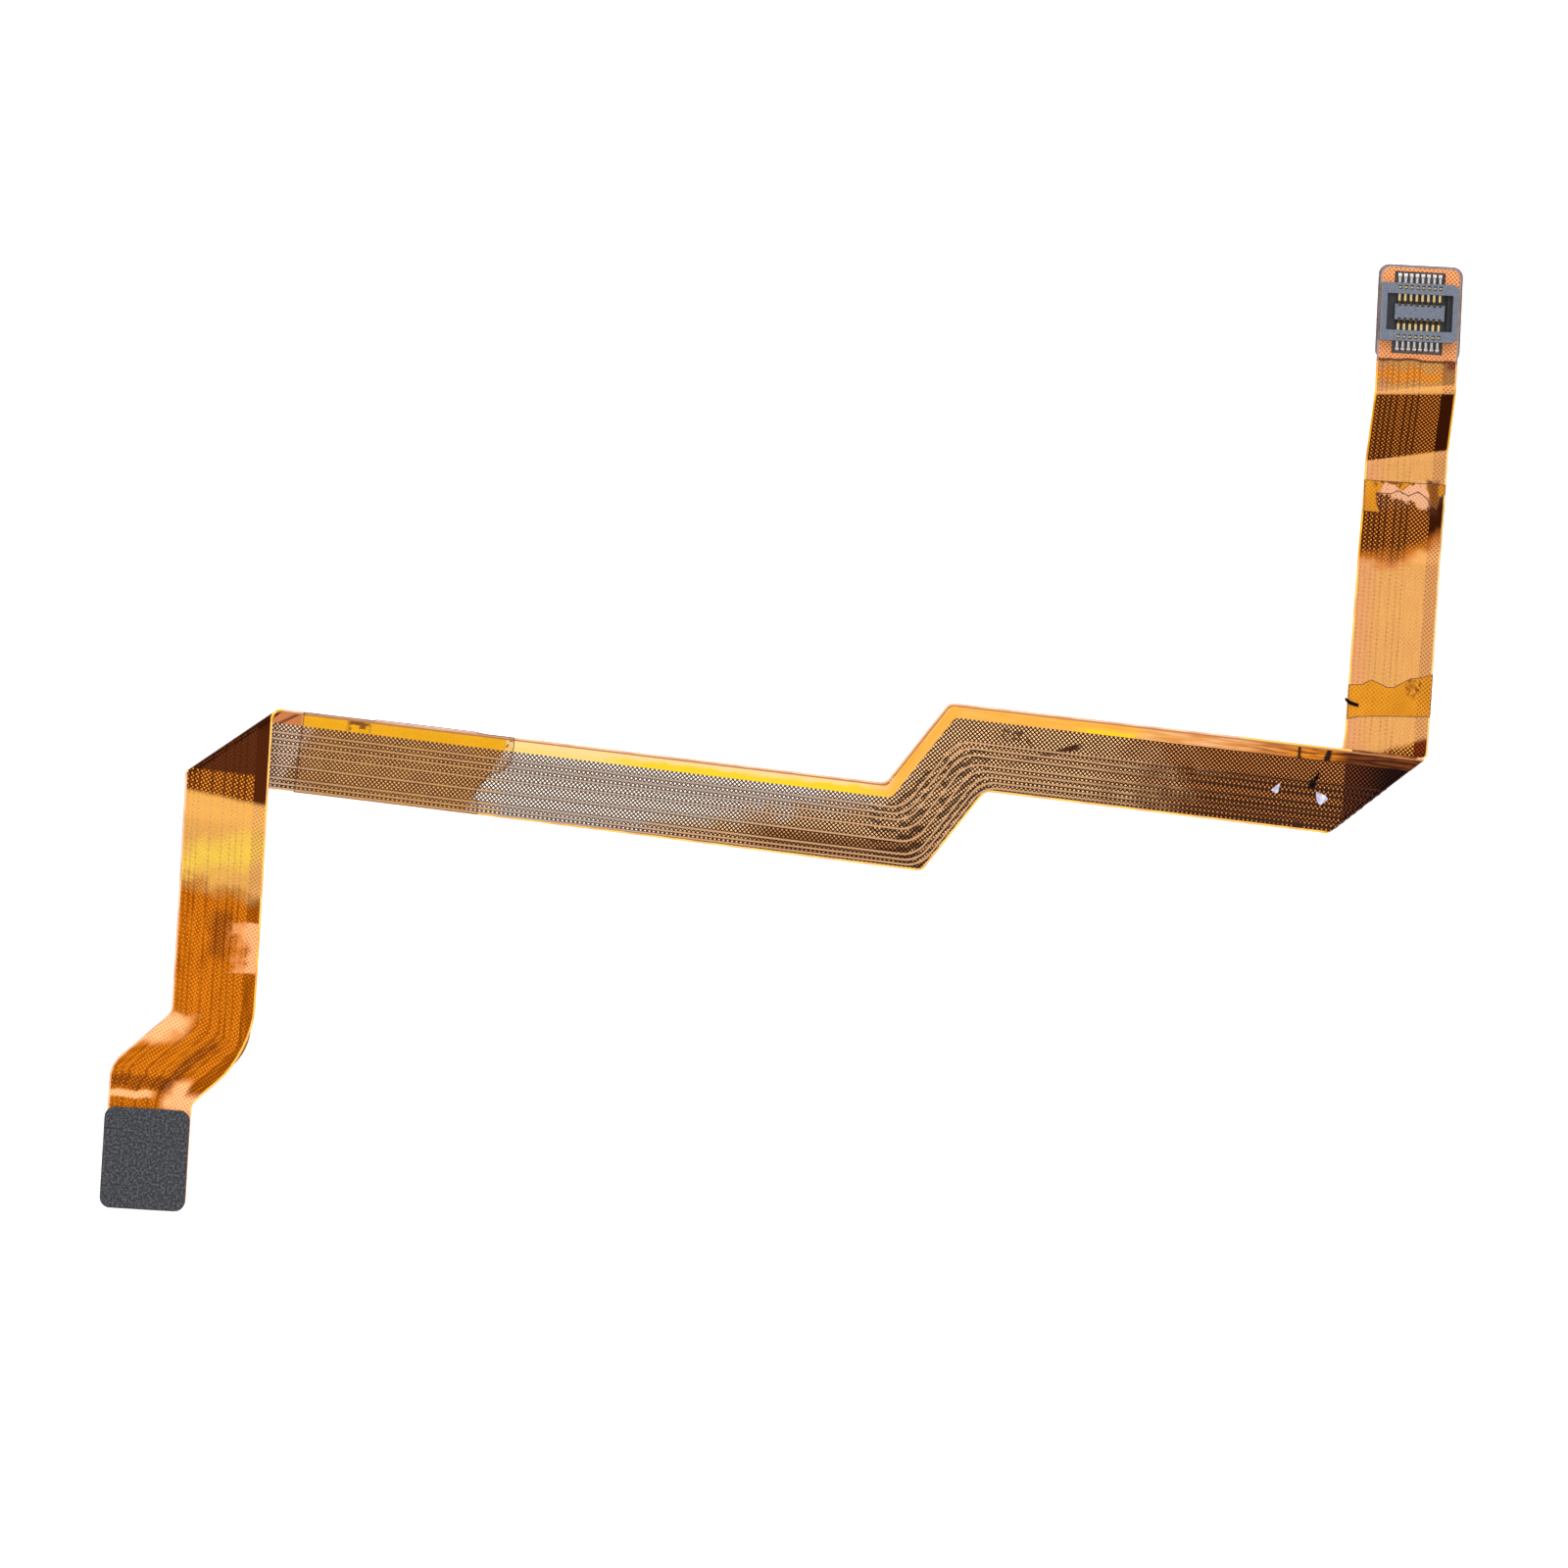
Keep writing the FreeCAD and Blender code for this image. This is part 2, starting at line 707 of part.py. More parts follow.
low_leg_tape = (
    (0.65, 0.0), (0.6, 0.5), (0.45, 3.7), (0.25, 6.3), (0.0, 7.2), (3.0, 7.25),
    (3.1, 6.1), (3.55, 5.3), (3.25, 4.5), (2.98, 3.9), (3.05, 3.3), (3.45, 2.6),
    (3.87, 1.93), (3.97, 1.2), (4.35, 0.0),
)
high_leg_tape = (
    (0.0, 0.05), (0.0, 7.1), (-2.75, 7.0), (-2.75, 5.5), (-2.0, 5.9), (-1.1, 5.95),
    (-1.1, 4.7), (-0.8, 4.1), (-1.2, 3.2), (-0.8, 2.4), (-1.3, 1.6), (-1.9, 1.2),
    (-2.2, 0.7), (-1.2, 0.45), (-0.8, 0.05),
)


def run_fleck(place, outline):
    """A torn crumb on face A of the middle run, back from the right fold's heel."""
    back, y = place
    return [Vector(right_heel.x - back + dx, y + dy, 0) for dx, dy in outline]


pale_fleck = ((-0.45, -0.1), (0.3, 0.65), (0.22, -0.15), (0.05, -0.35))
wide_fleck = ((-0.5, 0.55), (0.35, 0.3), (0.6, 0.0), (0.0, -0.6), (-0.2, -0.45),
              (-0.42, -0.1))
dark_fleck = ((-0.4, 0.0), (-0.3, 0.55), (0.0, 0.75), (0.35, 1.5), (0.5, 1.35),
              (0.2, 0.6), (0.25, 0.1), (-0.1, -0.1))
grey_fleck = ((0.0, 0.0), (-0.35, -0.45), (-0.5, -1.2), (-0.2, -1.2), (-0.05, -0.6),
              (0.3, 0.0))


def build():
    """Every node of the cable, by name."""
    low = -film_thickness / 2
    high = film_thickness / 2
    left_middle_end = left_middle + left_jog_offset
    right_middle_end = right_middle - right_leg_taper / 2
    left_seat = left_leg_length - socket_inset
    right_seat = right_leg_length - socket_inset
    left_socket = socket_frame(left_leg, left_bends, left_seat, left_middle_end, True)
    right_socket = socket_frame(right_leg, right_bends, right_seat,
                                right_middle_end + right_socket_shift, False)
    left_pad_seat = left_leg_length + pad_overhang - left_pad_length / 2
    right_pad_seat = right_leg_length + pad_overhang - right_pad_length / 2
    left_pad = socket_frame(left_leg, left_bends, left_pad_seat,
                            left_middle_end + left_pad_shift, False)
    right_pad = socket_frame(right_leg, right_bends, right_pad_seat,
                             right_middle_end, True)

    nodes = {}
    film = fold_sheet(rounded_face(film_outline()), low, high)
    windows = []
    for frame in (left_socket, right_socket):
        for turned in (0, 180):
            window = land_window()
            window.rotate(Vector(0, 0, 0), Vector(0, 0, 1), turned)
            windows.append(moved(window, frame))
    nodes["flex_film"] = film.cut(windows)

    nodes["power_track"] = track(power_track_inset, power_track_inset,
                                 power_track_width, power_step_radius)
    for index, (inset_left, inset_right) in enumerate(zip(signal_left, signal_right)):
        nodes["signal_track_%d" % (index + 1)] = track(
            inset_left, inset_right, signal_track_width, track_step_radius)

    body = housing()
    contacts = along_rows(contact())
    joints = along_rows(solder_joint())
    for name, frame in (("left", left_socket), ("right", right_socket)):
        nodes[name + "_socket_housing"] = moved(body, frame)
        for index, one in enumerate(contacts):
            nodes["%s_contact_%02d" % (name, index + 1)] = moved(one, frame)
        nodes[name + "_solder_joints"] = Part.makeCompound(
            [moved(joint, frame) for joint in joints])
    nodes["left_backing_pad"] = moved(pad(left_pad_length, left_pad_width), left_pad)
    nodes["right_backing_pad"] = moved(pad(right_pad_length, right_pad_width),
                                       right_pad)

    over = high + track_height
    tape_top = over + tape_thickness
    nodes["run_tape"] = fold_sheet(sharp_face(run_tape()), over, tape_top)
    high_tape_place = right_leg_length - high_tape_back
    leg_tapes = (("low_leg_tape", leg_tape(low_tape_inset, low_leg_tape)),
                 ("high_leg_tape", leg_tape(high_tape_place, high_leg_tape)))
    for name, outline in leg_tapes:
        nodes[name] = fold_sheet(sharp_face(outline), low - tape_thickness, low)
    fleck_top = over + fleck_thickness
    flecks = (("pale_fleck", run_fleck(pale_fleck_place, pale_fleck)),
              ("wide_fleck", run_fleck(wide_fleck_place, wide_fleck)),
              ("dark_fleck", run_fleck(dark_fleck_place, dark_fleck)))
    for name, outline in flecks:
        nodes[name] = fold_sheet(sharp_face(outline), over, fleck_top)
    on_tape = low - tape_thickness
    grey_along, grey_out = grey_fleck_place
    outline = [(along, right_leg_width + grey_out + across)
               for along, across in grey_fleck]
    nodes["grey_fleck"] = fold_sheet(
        sharp_face(leg_tape(low_tape_inset + grey_along, outline)),
        on_tape - fleck_thickness, on_tape)
    return nodes


def centred(nodes):
    """The same nodes with the origin under the middle of the cable, on the surface."""
    bounds = FreeCAD.BoundBox()
    for shape in nodes.values():
        bounds.add(shape.optimalBoundingBox(False))
    shift = Vector(-bounds.Center.x, -bounds.Center.y, -bounds.ZMin)
    for shape in nodes.values():
        shape.translate(shift)
    return nodes


os.makedirs("parts", exist_ok=True)
for node, shape in centred(build()).items():
    shape.exportStep("parts/%s.step" % node)
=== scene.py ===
"""Looks of the flat flex cable: folded amber film with copper in it, two sockets,
their backing pads and scraps of tape, on a plain pale floor."""
import math

import bmesh
import bpy
from mathutils import Matrix, Vector


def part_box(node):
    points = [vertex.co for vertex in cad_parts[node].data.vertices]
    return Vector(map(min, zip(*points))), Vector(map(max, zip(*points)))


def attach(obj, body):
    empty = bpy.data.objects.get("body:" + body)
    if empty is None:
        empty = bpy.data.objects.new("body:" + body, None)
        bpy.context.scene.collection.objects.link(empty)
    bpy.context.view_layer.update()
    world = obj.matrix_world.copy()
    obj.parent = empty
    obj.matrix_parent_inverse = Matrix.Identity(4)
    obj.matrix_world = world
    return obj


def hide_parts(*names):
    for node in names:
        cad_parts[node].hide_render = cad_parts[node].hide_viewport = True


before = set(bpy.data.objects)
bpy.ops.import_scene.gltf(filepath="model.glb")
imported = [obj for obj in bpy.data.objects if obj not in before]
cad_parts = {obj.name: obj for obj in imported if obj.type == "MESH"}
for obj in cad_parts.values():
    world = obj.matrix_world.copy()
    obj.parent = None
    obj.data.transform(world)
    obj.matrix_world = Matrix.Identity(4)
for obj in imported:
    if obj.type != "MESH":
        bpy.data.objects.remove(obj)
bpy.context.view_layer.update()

# Film: one sheet of polyimide with two layers of copper pressed in, cut flat with a die
# and folded over by hand at both ends of its middle run. Face A has the tracks, face B
# the copper mesh, and a narrow margin round the edge has no copper at all.
MM = 0.001
film_thickness = 0.2
track_height = 0.035
run_left_length = 52.2
run_left_width = 7.22
run_left_taper = 0.27
run_right_length = 40.9
run_right_width = 7.29
run_right_heading = 0.27
step_offset = 7.56
step_angle = 58.3
step_width = 7.26
fold_radius = 0.4
left_fold_slant = 41.0
right_fold_slant = 44.5
left_leg_length = 43.0
left_leg_width = 7.25
left_leg_kink = 11.5
left_jog_start = 29.02
left_jog_angle = 46.3
left_jog_offset = 5.0
right_leg_length = 44.3
right_leg_width = 7.33
right_leg_taper = 0.34
right_leg_kink = 4.2
copper_margin = 0.17
right_pad_start = 36.12
right_doubled = 39.7
slice_step = 1.0
fold_slice = 12.0
leg_lanes = 6
cut_merge = 0.002
hard_edge = math.radians(60)
outer_strip = 1.0


def heading(degrees):
    """Direction in the flat sheet, from the line of the middle run."""
    angle = math.radians(degrees)
    return Vector((math.cos(angle), math.sin(angle), 0))


def crossing(point_a, direction_a, point_b, direction_b):
    """Where two lines of the flat sheet cross."""
    normal = Vector((-direction_b.y, direction_b.x, 0))
    reach = (point_b - point_a).dot(normal) / direction_a.dot(normal)
    return point_a + direction_a * reach


class Leg:
    """Axes of one leg in the flat sheet: s along it from its heel, t across it."""

    def __init__(self, heel, degrees):
        self.heel = heel
        self.along = heading(degrees)
        across = heading(degrees + 90)
        self.across = across if across.y < 0 else -across

    def at(self, s, t):
        return self.heel + self.along * s + self.across * t


step_run = step_offset / math.tan(math.radians(step_angle))
step_corner = Vector((step_run, step_offset, 0))
left_heel = Vector((-run_left_length, 0, 0))
right_heel = step_corner + heading(run_right_heading) * run_right_length
left_away = heading(left_fold_slant + 90)
right_away = heading(right_fold_slant - 90)
left_turn = left_heel - Vector((math.pi * fold_radius / -left_away.x, 0, 0))
left_leg = Leg(left_turn, 180 - left_leg_kink)
right_leg = Leg(right_heel, -right_leg_kink)
jog_run = left_jog_offset / math.tan(math.radians(left_jog_angle))
jog_lean = math.tan(math.radians(left_jog_angle / 2))


def film_outline():
    """Corners of the flat film and the radius of each."""
    lower_left = Vector((0, -run_left_width, 0))
    lower_right = Vector((0, step_offset - run_right_width, 0))
    taper_line = Vector((-run_left_length, run_left_taper, 0)).normalized()
    flat = Vector((1, 0, 0))
    step_line = heading(step_angle)
    step_lower = heading(step_angle - 90) * step_width
    left_far = left_leg_width + left_jog_offset
    left_turn_s = left_jog_start - left_leg_width * jog_lean
    right_far = right_leg.at(right_leg_length, right_leg_width - right_leg_taper)
    right_lower = (right_far - right_leg.at(0, right_leg_width)).normalized()
    return [
        (left_leg.at(left_leg_length, left_jog_offset), 0.9),
        (left_leg.at(left_jog_start + jog_run, left_jog_offset), 1.0),
        (left_leg.at(left_jog_start, 0), 9.0),
        (left_turn, 0),
        (Vector((0, 0, 0)), 0.8),
        (step_corner, 0.8),
        (right_heel, 0),
        (right_leg.at(right_leg_length, 0), 0.9),
        (right_far, 0.9),
        (crossing(right_far, right_lower, lower_right, flat), 0),
        (crossing(step_lower, step_line, lower_right, flat), 0.7),
        (crossing(step_lower, step_line, lower_left, taper_line), 0.7),
        (crossing(left_leg.at(0, left_leg_width), left_leg.along, lower_left,
                  taper_line), 0),
        (left_leg.at(left_turn_s, left_leg_width), 1.0),
        (left_leg.at(left_turn_s + jog_run, left_far), 2.5),
        (left_leg.at(left_leg_length, left_far), 0.9),
    ]


def flat_sheet(corners):
    """Flat face with the given corners, each rounded by its own radius."""
    sheet = bmesh.new()
    points = [sheet.verts.new(point) for point, _ in corners]
    sheet.faces.new(points)
    for index, (place, radius) in enumerate(corners):
        if radius:
            before = corners[index - 1][0] - place
            after = corners[(index + 1) % len(corners)][0] - place
            reach = radius / math.tan(before.angle(after) / 2)
            bmesh.ops.bevel(sheet, geom=[points[index]], offset=reach,
                            offset_type="OFFSET", segments=8, profile=0.5,
                            affect="VERTICES", material=-1)
    bmesh.ops.recalc_face_normals(sheet, faces=sheet.faces[:])
    if sheet.faces[:][0].normal.z < 0:
        bmesh.ops.reverse_faces(sheet, faces=sheet.faces[:])
    return sheet


class Bend:
    """One bend about a straight line; a positive angle curls towards face A."""

    def __init__(self, start, away, angle, radius):
        self.start = start
        self.away = away
        self.angle = angle
        self.radius = radius
        self.length = radius * math.radians(abs(angle))

    def motion(self, point):
        """Where the film that lies at this flat point is carried by the bend."""
        reach = min(max((point - self.start).dot(self.away), 0.0), self.length)
        turn = reach / self.radius
        side = 1.0 if self.angle > 0 else -1.0
        raised = Vector((0, 0, side * self.radius * (1 - math.cos(turn))))
        forward = self.away * (self.radius * math.sin(turn))
        axis = self.away.cross(Vector((0, 0, 1))) * side
        return (Matrix.Translation(self.start + forward + raised)
                @ Matrix.Rotation(turn, 4, axis)
                @ Matrix.Translation(-(self.start + self.away * reach)))


def cross_bend(leg, s, t, skew, angle, radius):
    """A bend across a leg; skew turns its line away from square."""
    away = Matrix.Rotation(math.radians(skew), 3, "Z") @ leg.along
    return Bend(leg.at(s, t), away, angle, radius)


def slope_between(rise, start, start_radius, end, end_radius):
    """Slope in degrees for a rise between two bends that start at given places."""
    angle = math.asin(rise / (end - start))
    for _ in range(6):
        angle = math.asin(rise / (end - start + 0.5 * (end_radius - start_radius) * angle))
    return math.degrees(angle)


housing_height = 1.1
fold_rise = 2 * fold_radius
lift_start, lift_start_radius = 9.6, 35.0
lift_end, lift_end_radius = 20.0, 127.0
drape_start, drape_start_radius = 7.9, 13.0
drape_end, drape_end_radius = 14.6, 16.0
ramp_start, ramp_start_radius = 17.0, 19.0
ramp_end, ramp_end_radius = 32.3, 11.5
drape_skew = 6.6
arch_start, arch_end, arch_radius = 17.6, 22.2, 5.0
arch_angle, arch_skew = 14, -9
raised_start, raised_end, raised_radius = 26.95, 33.2, 0.8
raised_angle = 34
lift_angle = slope_between(fold_rise + track_height, lift_start, lift_start_radius,
                           lift_end, lift_end_radius)
drape_angle = slope_between(fold_rise - track_height, drape_start, drape_start_radius,
                            drape_end, drape_end_radius)
ramp_angle = slope_between(housing_height - track_height, ramp_start, ramp_start_radius,
                           ramp_end, ramp_end_radius)
left_middle = left_leg_width / 2
right_middle = right_leg_width / 2
right_run = Leg(step_corner, 0)
left_bends = [
    Bend(left_heel, left_away, 180, fold_radius),
    cross_bend(left_leg, drape_start, left_middle, drape_skew, drape_angle,
               drape_start_radius),
    cross_bend(left_leg, drape_end, left_middle, drape_skew, -drape_angle,
               drape_end_radius),
    cross_bend(left_leg, ramp_start, left_middle, 0, -ramp_angle, ramp_start_radius),
    cross_bend(left_leg, ramp_end, left_middle + left_jog_offset, 0, ramp_angle,
               ramp_end_radius),
]
right_bends = [
    cross_bend(right_run, lift_start - step_run, right_middle, 0, lift_angle,
               lift_start_radius),
    cross_bend(right_run, lift_end - step_run, right_middle, 0, -lift_angle,
               lift_end_radius),
    Bend(right_heel, right_away, -180, fold_radius),
    cross_bend(right_leg, arch_start, right_middle, arch_skew, -arch_angle, arch_radius),
    cross_bend(right_leg, arch_end, right_middle, arch_skew, arch_angle, arch_radius),
    cross_bend(right_leg, raised_start, right_middle, -11, -raised_angle, raised_radius),
    cross_bend(right_leg, raised_end, right_middle, -5, raised_angle, raised_radius),
]


def folded(point):
    """Where a point of the flat sheet goes when the film is folded."""
    flat = Vector((point.x, point.y, 0))
    on_left = (flat - left_heel).dot(left_away) > 0
    place = point.copy()
    for bend in reversed(left_bends if on_left else right_bends):
        place = bend.motion(flat) @ place
    return place + Vector((0, 0, film_thickness / 2))


def cut(sheet, faces, point, direction):
    """Cuts these faces of a flat sheet along a line square to the direction."""
    edges = {edge for face in faces for edge in face.edges}
    verts = {vert for face in faces for vert in face.verts}
    bmesh.ops.bisect_plane(sheet, geom=list(faces) + list(edges) + list(verts),
                           dist=cut_merge, plane_co=point, plane_no=direction)


def cut_across(sheet):
    """Cuts a flat sheet into the strips that its bends and swells need."""
    for bend in left_bends + right_bends:
        steps = max(2, math.ceil(abs(bend.angle) / fold_slice))
        for step in range(steps + 1):
            place = bend.start + bend.away * (bend.length * step / steps)
            cut(sheet, sheet.faces[:], place, bend.away)
    run_steps = int((right_heel.x + run_left_length) / slice_step)
    for step in range(1, run_steps):
        place = left_heel + Vector((step * slice_step, 0, 0))
        cut(sheet, sheet.faces[:], place, Vector((1, 0, 0)))
    for leg, length in ((left_leg, left_leg_length), (right_leg, right_leg_length)):
        for step in range(1, int(length / slice_step)):
            cut(sheet, sheet.faces[:], leg.at(step * slice_step, 0), leg.along)


def thicken(sheet, low, high):
    """Gives a flat sheet its thickness, with hard edges all round."""
    bottom = sheet.faces[:]
    grown = bmesh.ops.extrude_face_region(sheet, geom=bottom, use_keep_orig=True)
    top = [item for item in grown["geom"] if isinstance(item, bmesh.types.BMVert)]
    bmesh.ops.translate(sheet, verts=sheet.verts[:], vec=(0, 0, low))
    bmesh.ops.translate(sheet, verts=top, vec=(0, 0, high - low))
    bmesh.ops.reverse_faces(sheet, faces=bottom)
    bmesh.ops.recalc_face_normals(sheet, faces=sheet.faces[:])
    for edge in sheet.edges:
        edge.smooth = edge.calc_face_angle(0.0) <= hard_edge
    for face in sheet.faces:
        face.smooth = True


def part_of(point):
    """Which part of the cable a flat point lies in: a leg, or the middle run."""
    if (point - left_heel).dot(left_away) > 0:
        return left_leg
    if (point - right_heel).dot(right_away) > 0:
        return right_leg
    return None


def edge_distance(point, part):
    """How far a flat point lies from the film's outer edge, round every corner."""
    if part is left_leg:
        t = (point - left_leg.heel).dot(left_leg.across)
        s = (point - left_leg.heel).dot(left_leg.along)
        lean = math.radians(left_jog_angle)
        slanting = t * math.cos(lean) - (s - left_jog_start) * math.sin(lean)
        return max(min(t, slanting), t - left_jog_offset)
    if part is right_leg:
        return (point - right_leg.heel).dot(right_leg.across)
    slanting = point.dot(heading(step_angle - 90))
    return min(max(-point.y, slanting), step_offset - point.y)


def place_along(point, part):
    """How far along its leg a flat point lies, or along the middle run."""
    return (point - part.heel).dot(part.along) if part else point.x


def flat_maps(sheet):
    """Keeps each point's place in the flat sheet, and its place from the outer edge."""
    flat_map = sheet.loops.layers.uv.new("flat")
    edge_map = sheet.loops.layers.uv.new("edge")
    for face in sheet.faces:
        part = part_of(face.calc_center_median())
        for loop in face.loops:
            point = loop.vert.co
            loop[flat_map].uv = (point.x, point.y)
            loop[edge_map].uv = (place_along(point, part), edge_distance(point, part))


def fold_up(sheet):
    """Folds a finished flat piece along the film's bends."""
    for vert in sheet.verts:
        vert.co = folded(vert.co)


def cable_piece(name, sheet, place, materials):
    """Makes an object of a folded piece, in the row frame."""
    bmesh.ops.scale(sheet, verts=sheet.verts[:], vec=(MM, MM, MM))
    bmesh.ops.translate(sheet, verts=sheet.verts[:], vec=place)
    mesh = bpy.data.meshes.new(name)
    sheet.to_mesh(mesh)
    sheet.free()
    for material in materials:
        mesh.materials.append(material)
    piece = bpy.data.objects.new(name, mesh)
    bpy.context.scene.collection.objects.link(piece)
    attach(piece, "root")
    return piece


film = flat_sheet(film_outline())
margin = bmesh.ops.inset_region(film, faces=film.faces[:], thickness=copper_margin,
                                use_even_offset=True, use_boundary=True)["faces"]
finishes = ("amber_margin", "track_side", "left_copper_side", "right_copper_side",
            "pale_margin", "shaded_margin", "olive_margin", "mauve_margin")
for face in film.faces:
    face.material_index = finishes.index("track_side")
for face in margin:
    face.material_index = finishes.index("amber_margin")
cut_across(film)
for lane in range(1, leg_lanes):
    on_left = [face for face in film.faces
               if (face.calc_center_median() - left_turn).dot(left_away) > 0]
    cut(film, on_left, left_leg.at(0, left_leg_width * lane / leg_lanes), left_leg.across)
thicken(film, -film_thickness / 2, film_thickness / 2)
flat_maps(film)


def margin_finish(middle):
    """Which painted copy of the bare margin a face gets: the light falls otherwise on each
    stretch of it, and each copy has that light and shade painted in.
    """
    part = part_of(middle)
    outer = edge_distance(middle, part) < outer_strip
    if part is right_leg and place_along(middle, part) > right_pad_start:
        return "mauve_margin"
    if part is right_leg:
        return "olive_margin" if outer else "amber_margin"
    if middle.x > right_doubled:
        return "shaded_margin"
    return "pale_margin" if outer != (part is left_leg) else "amber_margin"


for face in film.faces:
    middle = face.calc_center_median()
    if face.material_index == finishes.index("amber_margin"):
        face.material_index = finishes.index(margin_finish(middle))
    elif face.normal.z < -0.5:
        side = "left_copper_side" if middle.x < step_run else "right_copper_side"
        face.material_index = finishes.index(side)
fold_up(film)
film_corner = Vector((min(vert.co.x for vert in film.verts),
                      min(vert.co.y for vert in film.verts), 0))
cad_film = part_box("flex_film")[0]
film_place = Vector((cad_film.x, cad_film.y, 0)) - film_corner * MM


class Shade:
    """A socket in a material's nodes; sums and products of shades add Math nodes."""

    def __init__(self, tree, socket=None):
        self.tree = tree
        self.socket = socket

    def node(self, kind, settings, inputs, output=0):
        """Adds a node with these settings and these values or links."""
        made = self.tree.nodes.new(kind)
        for name, value in settings.items():
            setattr(made, name, value)
        for name, value in inputs.items():
            if isinstance(value, Shade):
                self.tree.links.new(value.socket, made.inputs[name])
            else:
                made.inputs[name].default_value = value
        return Shade(self.tree, made.outputs[output])

    def beside(self, output):
        """Another output of the same node."""
        return Shade(self.tree, self.socket.node.outputs[output])

    def math(self, operation, first, second=0.0):
        return self.node("ShaderNodeMath", {"operation": operation},
                         {0: first, 1: second})

    def __add__(self, other):
        return self.math("ADD", self, other)

    __radd__ = __add__

    def __sub__(self, other):
        return self.math("SUBTRACT", self, other)

    def __rsub__(self, other):
        return self.math("SUBTRACT", other, self)

    def __mul__(self, other):
        return self.math("MULTIPLY", self, other)

    __rmul__ = __mul__

    def __truediv__(self, other):
        return self.math("DIVIDE", self, other)

    def __abs__(self):
        return self.math("ABSOLUTE", self)

    def band(self, start, end, soft):
        """1 between two values, fading out round each."""
        return self.fade(start - soft, start + soft) * self.fade(end + soft, end - soft)

    def fade(self, start, end):
        """0 at the start and 1 at the end of a range, softly."""
        if start < end:
            return self.node("ShaderNodeMapRange", {"interpolation_type": "SMOOTHSTEP"},
                             {"Value": self, "From Min": start, "From Max": end})
        return 1 - self.fade(end, start)

    def blend(self, low, high):
        """A colour: low where this value is 0, high where it is 1."""
        return self.node("ShaderNodeMix", {"data_type": "RGBA"},
                         {0: self, 6: low, 7: high}, 2)


def new_material(name, **constants):
    """A material with constant sockets set by name, and the start of its nodes."""
    material = bpy.data.materials.new(name)
    material.use_nodes = True
    shader = material.node_tree.nodes["Principled BSDF"]
    for socket, value in constants.items():
        shader.inputs[socket.replace("_", " ")].default_value = value
    return material, Shade(material.node_tree), shader


def drive(shader, socket, shade):
    """Lets a shade feed one socket of a material's shader."""
    shade.tree.links.new(shade.socket, shader.inputs[socket])


def colour(red, green, blue):
    """A colour as seen on a screen, from 0 to 255, for a shader socket."""
    def linear(value):
        share = value / 255
        return share / 12.92 if share <= 0.04045 else ((share + 0.055) / 1.055) ** 2.4
    return (linear(red), linear(green), linear(blue), 1.0)


mesh_pitch = 0.38
opening_share = 0.56
opening_blur = 0.05


def mesh_openings(flat):
    """1 inside the square openings of the copper mesh, which lies at 45 degrees."""
    x = flat.node("ShaderNodeSeparateXYZ", {}, {0: flat})
    y = x.beside("Y")
    first = flat.math("FRACT", (x + y) / mesh_pitch)
    second = flat.math("FRACT", (x - y) / mesh_pitch)
    reach = flat.math("MAXIMUM", abs(first - 0.5), abs(second - 0.5))
    return reach.fade(opening_share / 2 + opening_blur, opening_share / 2 - opening_blur)


swell_height = 0.00004


def grain(start, scale, detail):
    """Noise all through a piece, between 0 and 1."""
    place = start.node("ShaderNodeTexCoord", {}, {}, "Object")
    return start.node("ShaderNodeTexNoise", {"noise_dimensions": "3D"},
                      {"Vector": place, "Scale": scale, "Detail": detail})


def soft_swells(start):
    """Slight unevenness of the film, as a bumped normal."""
    return start.node("ShaderNodeBump", {}, {"Height": grain(start, 160.0, 1.0),
                                             "Distance": swell_height})


def uneven(place, scale, detail):
    """Noise over the flat sheet, between about -0.5 and 0.5."""
    noise = place.node("ShaderNodeTexNoise", {"noise_dimensions": "2D"},
                       {"Vector": place, "Scale": scale, "Detail": detail})
    return (noise - 0.5) * 2.0


def ripple(flat):
    """A slow wander, for edges that are not straight."""
    return uneven(flat, 0.55, 3.0)


def streaks(edge):
    """Fine lines along the film, as in rolled copper."""
    drawn = edge.node("ShaderNodeVectorMath", {"operation": "MULTIPLY"},
                      {0: edge, 1: (0.35, 5.0, 1.0)})
    return uneven(drawn, 1.0, 4.0)


def specks(flat):
    """Fine uneven marks all over the film."""
    return uneven(flat, 2.4, 4.0)


class FilmPlace:
    """Where a point lies on the film, in mm, for its material: x and y in the flat
    sheet, s along its leg from the heel (x on the run), d in from the outer edge."""

    def __init__(self, start):
        self.flat = start.node("ShaderNodeUVMap", {"uv_map": "flat"}, {})
        self.edge = start.node("ShaderNodeUVMap", {"uv_map": "edge"}, {})
        self.x = start.node("ShaderNodeSeparateXYZ", {}, {0: self.flat})
        self.y = self.x.beside("Y")
        self.s = start.node("ShaderNodeSeparateXYZ", {}, {0: self.edge})
        self.d = self.s.beside("Y")
        self.wander = ripple(self.flat)
        self.streak = streaks(self.edge)


# Tones below: each stretch of painted light or shade, stain or scuff has its place
# in mm on the sheet and its colour as seen from above. The signal tracks lie this far
# in from the edge.
signal_left = (1.95, 2.5, 3.0, 3.75, 4.8, 5.9, 6.35, 6.75)
signal_right = (3.15, 3.65, 4.2, 5.0, 5.5, 5.95, 6.4, 6.85)
signal_width = 0.15
power_inset = 0.3
power_width = 0.95
track_blur = 0.03


